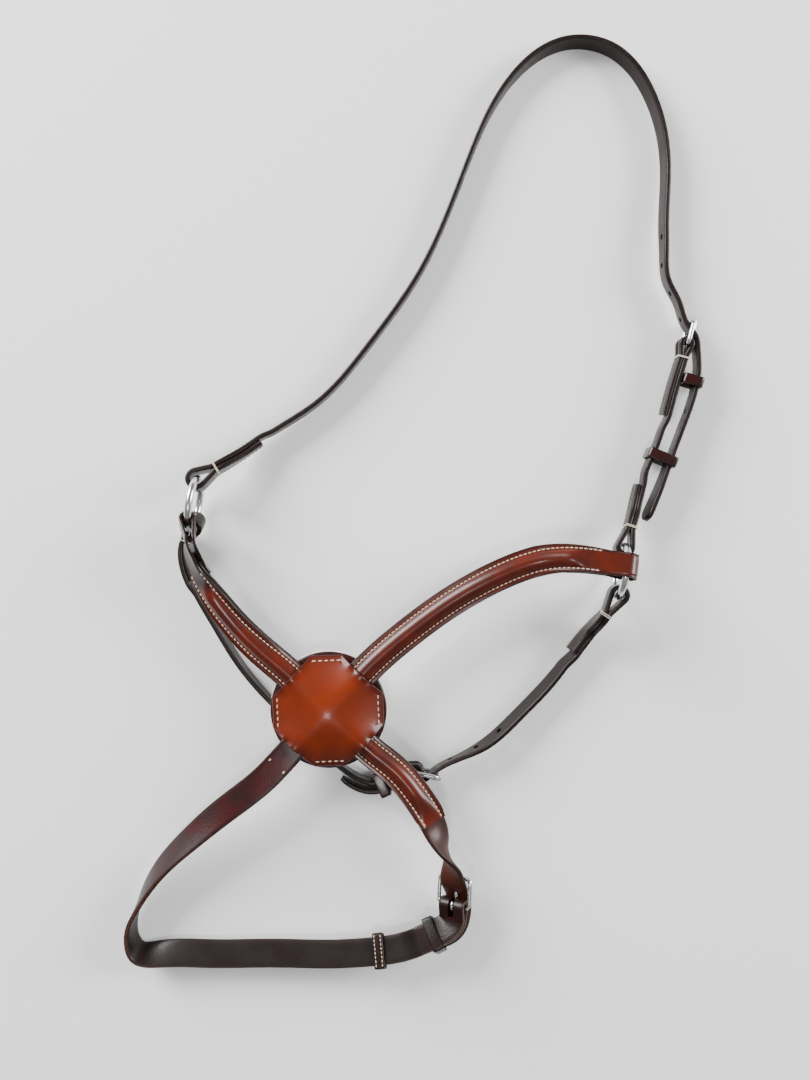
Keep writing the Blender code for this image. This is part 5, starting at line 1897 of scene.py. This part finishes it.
@dataclass
class UpperArm:
    """A padded arm from the star to a ring."""

    shop: Workshop
    name: str
    route: Route
    hold: RingHold
    ring_width: float
    pad_end: float
    lining_stop: float
    dark_end: float = 0.03
    back: float = 0.04
    body: str = "noseband"
    row: float = PADDING_WIDTH / 2 + 0.0009

    def width_at(self, s: float) -> float:
        """Width of the arm at a length."""
        fade = min(1.0, max(0.0, (self.route.length - s) / 0.045))
        return self.ring_width + (ARM_WIDTH - self.ring_width) * fade

    def lift(self, s: float, out: float) -> float:
        """Height of the padding at a length."""
        fade = min(1.0, max(0.0, (self.pad_end - s) / 0.014))
        return PADDING_RISE * fade * fade * (3 - 2 * fade) if out > 0 else 0.0

    def build(self) -> list[list[Vector]]:
        """Build the top and the lining.

        Returns:
            The arm's two stitch rows.
        """
        shop, route = self.shop, self.route
        rise = ARM_TOP_OFFSET
        end = self.hold.end(self.ring_width, ARM_TOP_THICK, rise, self.back, ramp=0.0)
        end = at_finish(end, route.length, self.hold.shank)
        view = [(s, rise) for s in runs(0.0, end[0][0])[:-1]] + end
        profile = padded_profile(self.width_at, ARM_TOP_THICK, self.lift, self.row)
        dark = between(route.length - self.dark_end - 0.012, route.length - self.dark_end, 1.0)
        top = loft(self.name + "_leather", route, view, profile,
                   shop.paint.leather(CHESTNUT), dark)
        shop.fit(top, self.body, "chestnut_leather", self.name + "_top",
                 self.name + "_filler")
        last = route.length - self.lining_stop
        lining = loft(self.name + "_backing", route, [(s, 0.0) for s in runs(0.0, last)],
                      strap_profile(self.width_at, ARM_LINING_THICK, 0.0),
                      shop.paint.leather(LINING))
        shop.fit(lining, self.body, "dark_leather", self.name + "_lining")
        height = rise + ARM_TOP_THICK / 2 - 0.00012
        stop = min(self.pad_end + 0.004, route.length - 0.004)
        return [[route.spot(s, height, sign * self.row) for s in runs(0.016, stop)]
                for sign in (-1, 1)]


@dataclass
class Noseband:
    """The four arms, the chin strap and its buckle."""

    shop: Workshop
    body: str = "noseband"

    def build(self) -> None:
        """Build and fix the arms, the chin strap and their stitching."""
        shop = self.shop
        route, hold = upper_left_route()
        left = UpperArm(shop, "upper_left_arm", route, hold, LEFT_ARM_RING_WIDTH,
                        route.length - 0.03, 0.014)
        rows = left.build()
        route, hold = upper_right_route()
        right = UpperArm(shop, "upper_right_arm", route, hold, RIGHT_ARM_RING_WIDTH,
                         route.length - 0.01, 0.001, dark_end=-0.05)
        rows += right.build()
        chin, buckle = self.build_chin()
        rows += self.build_lower_right(chin, buckle)
        piece = shop.stitcher.sew("arm_stitches", rows,
                                  shop.paint.thread(CREAM))
        shop.fit(piece, self.body, "waxed_thread")

    def build_chin(self) -> tuple[Route, Buckle]:
        """Build the chin strap, its buckle and keepers.

        Returns:
            Its route and its buckle.
        """
        shop = self.shop
        route = chin_route()
        buckle = Buckle("chin_buckle", route, CHIN_BUCKLE_LENGTH, CHIN_WIDTH, CHIN_THICK)
        half = (CHIN_THICK + TOUCH) / 2
        end = turned_end(BUCKLE_BAR, 0.0, buckle.shank, half, 0.036, CHIN_THICK)
        end = at_finish(end, route.length, buckle.shank)
        view = [(s, 0.0) for s in runs(0.0, end[0][0])[:-1]] + end
        piece = loft("chin_leather", route, view,
                     strap_profile(steady(CHIN_WIDTH), CHIN_THICK),
                     shop.paint.leather(OXBLOOD), between(0.06, 0.2, 0.85))
        slotted(piece, buckle)
        shop.fit(piece, self.body, "oxblood_leather", "chin_strap")
        place = 0.5 * (STAR_ACROSS + STAR_EDGE) / 2**0.5 + 0.0024
        dots = [[route.spot(s, CHIN_THICK / 2 + 0.0002, sign * 0.006)
                 for s in (place, place + 0.0018)] for sign in (-1, 1)]
        piece = shop.stitcher.sew("chin_anchor_stitches", dots,
                                  shop.paint.thread(CREAM), 0.003, 0.002,
                                  0.0012)
        shop.fit(piece, self.body, "waxed_thread")
        Hardware(shop).buckle(buckle)
        _, _, over = buckle.crossing(CHIN_THICK)
        red = shop.paint.leather(DARK)
        for name, back, inner, outer, body in (
                ("chin_inner_keeper", 0.026, CHIN_THICK + TOUCH / 2, over + CHIN_THICK / 2,
                 self.body),
                ("chin_sliding_keeper", 0.064, CHIN_THICK / 2, 1.5 * CHIN_THICK + EASE,
                 "chin_sliding_keeper")):
            low, high = -inner - EASE, outer + EASE
            place = band_matrix(route, buckle.heel - back, (low + high) / 2)
            piece = keeper_loop(name + "_loop", (CHIN_WIDTH + 2 * EASE, high - low),
                                KEEPER_BAND, KEEPER_THICK, place, red)
            shop.fit(piece, body, "keeper_leather", name)
            if body == self.body:
                continue
            inside = (high - low) / 2 + KEEPER_THICK
            rows = []
            for side in (-1, 1):
                for edge in (-1, 1):
                    rows.append([place @ Vector((across, side * inside, edge * 0.0021))
                                 for across in runs(-CHIN_WIDTH / 2, CHIN_WIDTH / 2)])
            piece = shop.stitcher.sew(name + "_stitches", rows,
                                      shop.paint.thread(CREAM), 0.0024,
                                      0.0018, 0.0006)
            shop.fit(piece, body, "waxed_thread")
        return route, buckle

    def build_lower_right(self, chin: Route, buckle: Buckle) -> list[list[Vector]]:
        """Build the short padded arm over the chin billet.

        Args:
            chin: the chin strap's route.
            buckle: the chin buckle.

        Returns:
            The arm's two stitch rows.
        """
        shop = self.shop
        route = lower_right_route(buckle)
        heel = route.nearest(chin.spot(buckle.heel))
        pad_end = heel - buckle.length - 0.042
        rise = (CHIN_THICK + ARM_TOP_THICK) / 2 + TOUCH

        def lift(s: float, _out: float) -> float:
            """Height of the padding at a length."""
            fade = min(1.0, max(0.0, (pad_end - s) / 0.024))
            return PADDING_RISE * fade * fade * (3 - 2 * fade)

        def width(s: float) -> float:
            """Width of the arm's top at a length."""
            inside = max(0.0, 1 - (pad_end - s) / 0.006)
            return ARM_WIDTH - (ARM_WIDTH - CHIN_WIDTH) * inside

        row = PADDING_WIDTH / 2 + 0.0009
        top = loft("lower_right_arm_leather", route, [(s, rise) for s in runs(0.0, pad_end)],
                   padded_profile(width, ARM_TOP_THICK, lift, row),
                   shop.paint.leather(CHESTNUT))
        shop.fit(top, self.body, "chestnut_leather", "lower_right_arm_top",
                 "lower_right_arm_filler")
        tip = rounded_tip(route.length, CHIN_WIDTH)
        piece = loft("chin_billet_leather", route, [(s, 0.0) for s in runs(0.0, route.length)],
                     strap_profile(tip, CHIN_THICK), shop.paint.leather(BILLET))
        shop.punched(piece, route, [heel + 0.008 + count * PUNCH_PITCH for count in (1, 2, 3)])
        shop.bored(piece, tongue_hole(buckle, CHIN_THICK), TONGUE_WIRE / 2 + EASE)
        shop.fit(piece, self.body, "chestnut_leather", "chin_billet")
        height = rise + ARM_TOP_THICK / 2 - 0.00012
        return [[route.spot(s, height, sign * row) for s in runs(0.016, pad_end - 0.002)]
                for sign in (-1, 1)]


@dataclass
class Star:
    """The stitched cover over the crossing, its disc and felt."""

    shop: Workshop
    body: str = "noseband"
    count: int = 96
    fineness: int = 45
    seam: float = 0.0034

    def reach(self, turn: float) -> float:
        """Distance from the middle to the outline in a direction.

        Args:
            turn: the direction.

        Returns:
            The distance.
        """
        side = STAR_ACROSS / 2
        corner = side + STAR_EDGE / 2
        c, s = abs(cos(turn)), abs(sin(turn))
        return min(side / max(c, s), corner / (c + s))

    def held(self, x: float, y: float) -> float:
        """Height that the arms, the core and the edges hold the cover at or above.

        Args:
            x: place on the cover.
            y: place on the cover.

        Returns:
            The height.
        """
        flat = CHIN_THICK + ARM_TOP_THICK + 3 * TOUCH
        along, across = (x + y) / 2**0.5, (y - x) / 2**0.5
        rise = 0.0
        for distance, out in ((abs(across), abs(along)), (abs(along), abs(across))):
            share = max(0.0, 1 - (distance / (PADDING_WIDTH * 0.58)) ** 2)
            slope = min(1.0, max(0.0, (ARM_WIDTH * 0.9 - distance) / (ARM_WIDTH * 0.4)))
            crown = STAR_CROWN * max(0.0, 1 - (out / (STAR_ACROSS * 0.46)) ** 1.6)
            rise = max(rise, flat * slope + (PADDING_RISE + crown) * share)
        return 2 * TOUCH + rise

    def drape(self) -> None:
        """Stretch the cover like a skin over what holds it up."""
        size = 2 * self.fineness + 1
        steps = np.linspace(-STAR_ACROSS / 2, STAR_ACROSS / 2, size)
        held = np.array([[self.held(x, y) for y in steps] for x in steps])
        inside = np.array([[hypot(x, y) < self.reach(atan2(y, x)) - 0.0012 for y in steps]
                           for x in steps])[1:-1, 1:-1]
        skin = held.copy()
        for turn in range(SKIN_ROUNDS + LOOSE_ROUNDS):
            middle = (skin[:-2, 1:-1] + skin[2:, 1:-1] + skin[1:-1, :-2] + skin[1:-1, 2:]) / 4
            floor = held[1:-1, 1:-1] if turn < SKIN_ROUNDS else 0.0
            skin[1:-1, 1:-1] = np.where(inside, np.maximum(middle, floor), held[1:-1, 1:-1])
        self.skin = skin

    def height(self, x: float, y: float) -> float:
        """Underside of the cover over a point, read between the skin's places.

        Args:
            x: place on the cover.
            y: place on the cover.

        Returns:
            The height.
        """
        most = 2 * self.fineness
        i, j = (min(max((v / STAR_ACROSS + 0.5) * most, 0.0), most - 1e-6) for v in (x, y))
        a, b = int(i), int(j)
        s, t = i - a, j - b
        near = self.skin[a, b] * (1 - t) + self.skin[a, b + 1] * t
        far = self.skin[a + 1, b] * (1 - t) + self.skin[a + 1, b + 1] * t
        return float(near * (1 - s) + far * s)

    def build(self) -> None:
        """Build the cover, disc and felt, and dress the cover."""
        shop, middle = self.shop, PLACE + STAR
        base = DISC_LEVEL + DISC_THICK + TOUCH
        turn = Matrix.Rotation(STAR_TURN - pi / 4, 4, "Z")
        cover = self.build_cover(middle, turn, base)
        shop.fit(cover, self.body, "star_leather", "star_cover")
        radius, top = DISC_ACROSS / 2, DISC_LEVEL + DISC_THICK
        disc = lathe("star_disc_leather", middle,
                     [(0, top), (radius - 0.004, top), (radius - 0.0008, top),
                      (radius - 0.0002, top - 0.0004), (radius, top - 0.0011),
                      (radius, DISC_LEVEL + 0.0008), (radius - 0.0006, DISC_LEVEL),
                      (radius - 0.004, DISC_LEVEL), (0, DISC_LEVEL)],
                     shop.paint.leather(DISC))
        shop.fit(disc, self.body, "star_leather", "star_disc")
        radius, top = FELT_ACROSS / 2 + 0.0014, FELT_LEVEL + FELT_THICK
        felt = lathe("felt_backing", middle,
                     [(0, top), (radius - 0.003, top), (radius - 0.0012, top - 0.0002),
                      (radius - 0.0003, top - 0.0009), (radius, top - 0.0018),
                      (radius, FELT_LEVEL + 0.0016), (radius - 0.0006, FELT_LEVEL + 0.0006),
                      (radius - 0.0018, FELT_LEVEL), (0, FELT_LEVEL)],
                     shop.paint.fibre(FELT, 900.0, 0.0005), sides=240, ripple=0.00025)
        shop.fit(felt, self.body, "wool_felt", "felt_pad")
        self.dress(middle, turn, base)

    def build_cover(self, middle: Vector, turn: Matrix, base: float) -> bpy.types.Object:
        """Build the domed cover as one closed shell.

        Args:
            middle: the crossing's middle on the table.
            turn: turns the outline to the arms.
            base: level of the disc's top.

        Returns:
            The object.
        """
        count = self.count
        layers = (("under", 0.0, 0.992), ("rim_low", 0.25, 1.0), ("rim_high", 0.72, 1.0),
                  ("top", 1.0, 0.988))
        self.drape()
        points, marks = [], {"rim": [], "flesh": [], "shaded": []}
        for layer, up, inset in layers:
            for i in range(count + 1):
                for j in range(count + 1):
                    a, b = 2 * i / count - 1, 2 * j / count - 1
                    angle = atan2(b, a)
                    share = max(abs(a), abs(b))
                    on_rim = share > 0.9999
                    if layer.startswith("rim") and not on_rim:
                        continue
                    reach = share * self.reach(angle) * (inset if on_rim else 1.0)
                    x, y = reach * cos(angle), reach * sin(angle)
                    height = base + self.height(x, y) + STAR_THICK * up
                    gap = abs((1 - share) * self.reach(angle) - self.seam)
                    short = abs(abs(cos(angle)) - abs(sin(angle))) > 0.62
                    if layer == "top" and short:
                        height -= 0.0004 * exp(-(gap / 0.0006) ** 2)
                    points.append(middle + turn @ Vector((x, y, height)))
                    marks["rim"].append(1.0 if on_rim and layer != "top" else 0.0)
                    marks["flesh"].append(1.0 if layer == "under" else 0.0)
                    # Painted shade: the cover darkens over its last 11 mm towards the outline.
                    edge = 1 - (1 - share) * self.reach(angle) / 0.011
                    marks["shaded"].append(0.9 * max(0.0, edge) ** 2)
        return self.shell("star_cover_leather", points, marks)

    def shell(self, name: str, points: list[Vector], marks: dict[str, list[float]]
              ) -> bpy.types.Object:
        """Join the cover's under side, rim and top into one closed shell.

        Args:
            name: the piece's name.
            points: of the under side, the rim and the top.
            marks: numbers kept for each point.

        Returns:
            The object.
        """
        count = self.count
        size = (count + 1) ** 2
        ring = [(i, j) for i in range(count + 1) for j in range(count + 1)
                if max(abs(2 * i / count - 1), abs(2 * j / count - 1)) > 0.9999]
        order = {place: k for k, place in enumerate(ring)}
        around = [(i, 0) for i in range(count)] + [(count, j) for j in range(count)]
        around += [(i, count) for i in range(count, 0, -1)]
        around += [(0, j) for j in range(count, 0, -1)]
        low, high, top = size, size + len(ring), size + 2 * len(ring)
        faces = []
        for i in range(count):
            for j in range(count):
                a, b = i * (count + 1) + j, (i + 1) * (count + 1) + j
                faces.append([a, a + 1, b + 1, b])
                faces.append([top + a, top + b, top + b + 1, top + a + 1])
        for first, second in zip(around, around[1:] + around[:1]):
            under = [place[0] * (count + 1) + place[1] for place in (first, second)]
            rings = [order[first], order[second]]
            faces.append([under[0], under[1], low + rings[1], low + rings[0]])
            faces.append([low + rings[0], low + rings[1], high + rings[1], high + rings[0]])
            faces.append([high + rings[0], high + rings[1], top + under[1], top + under[0]])
        return finish_mesh(name, np.array([tuple(p) for p in points]), faces, marks,
                           self.shop.paint.leather(STARRED))

    def dress(self, middle: Vector, turn: Matrix, base: float) -> None:
        """Sew the short rows that hold the cover's four short edges.

        Args:
            middle: the crossing's middle.
            turn: turns the outline to the arms.
            base: level of the disc's top.
        """
        rows = []
        for quarter in range(4):
            spin = Matrix.Rotation(quarter * pi / 2, 4, "Z")
            row = []
            for along in runs(-STAR_EDGE / 2 + 0.002, STAR_EDGE / 2 - 0.002):
                flat = spin @ Vector((STAR_ACROSS / 2 - self.seam, along, 0.0))
                height = base + self.height(flat.x, flat.y) + STAR_THICK - 0.0001
                row.append(middle + turn @ Vector((flat.x, flat.y, height)))
            rows.append(row)
        piece = self.shop.stitcher.sew("star_stitches", rows,
                                       self.shop.paint.thread(CREAM),
                                       0.0033, 0.0026, 0.001)
        self.shop.fit(piece, self.body, "waxed_thread")


# ---- the table, the light and the camera ----------------------------------------------


@dataclass
class Studio:
    """A pale table, soft light and the camera straight above."""

    def build(self) -> None:
        """Build the table, the lights and the camera."""
        self.build_camera()
        self.build_table()
        self.build_lights()

    def build_camera(self) -> None:
        """Look straight down, rolled as the headcollar lies."""
        data = bpy.data.cameras.new("camera")
        data.sensor_fit = "VERTICAL"
        data.angle = 2 * atan2(FRAME_HEIGHT / 2, CAMERA_REACH)
        camera = bpy.data.objects.new("camera", data)
        camera.location = PLACE + CAMERA_ASIDE + Vector((0, 0, CAMERA_HEIGHT))
        camera.rotation_euler = (0, 0, CAMERA_ROLL)
        bpy.context.scene.collection.objects.link(camera)
        bpy.context.scene.camera = camera

    def build_table(self) -> None:
        """A plain pale table top."""
        work = bmesh.new()
        bmesh.ops.create_grid(work, x_segments=1, y_segments=1, size=6.0)
        mesh = bpy.data.meshes.new("table")
        work.to_mesh(mesh)
        work.free()
        table = bpy.data.objects.new("table", mesh)
        table.location = (0, 0, -0.0002)
        bpy.context.scene.collection.objects.link(table)
        paint = bpy.data.materials.new("table_paint")
        paint.use_nodes = True
        shader = paint.node_tree.nodes["Principled BSDF"]
        shader.inputs["Base Color"].default_value = (0.9, 0.9, 0.9, 1)
        shader.inputs["Roughness"].default_value = 0.7
        mesh.materials.append(paint)

    def build_lights(self) -> None:
        """A bright sky and three soft boxes."""
        world = bpy.data.worlds.new("studio")
        world.use_nodes = True
        world.node_tree.nodes["Background"].inputs["Color"].default_value = (1, 1, 1, 1)
        world.node_tree.nodes["Background"].inputs["Strength"].default_value = SKY
        bpy.context.scene.world = world
        for name, place, size, power in LAMPS:
            data = bpy.data.lights.new(name, "AREA")
            data.size = size
            data.energy = power
            lamp = bpy.data.objects.new(name, data)
            lamp.location = place
            lamp.rotation_euler = (-Vector(place)).to_track_quat("-Z", "Y").to_euler()
            bpy.context.scene.collection.objects.link(lamp)


def main() -> None:
    """Build the studio and the headcollar, piece by piece."""
    logging.basicConfig(level=logging.INFO, format="%(name)s: %(message)s")
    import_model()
    Studio().build()
    shop = Workshop()
    hardware = Hardware(shop)
    hardware.ring(Side.LEFT)
    hardware.ring(Side.RIGHT)
    Headpiece(shop).build()
    JawStrap(shop).build()
    Noseband(shop).build()
    Star(shop).build()
    dress_core(shop)


def dress_core(shop: Workshop) -> None:
    """Give the hidden core of the crossing its leather."""
    for thing in bpy.data.objects:
        if thing.name == "star_boss" and thing.type == "MESH":
            thing.data.materials.clear()
            thing.data.materials.append(shop.paint.leather(LINING))


if __name__ == "__main__":
    main()
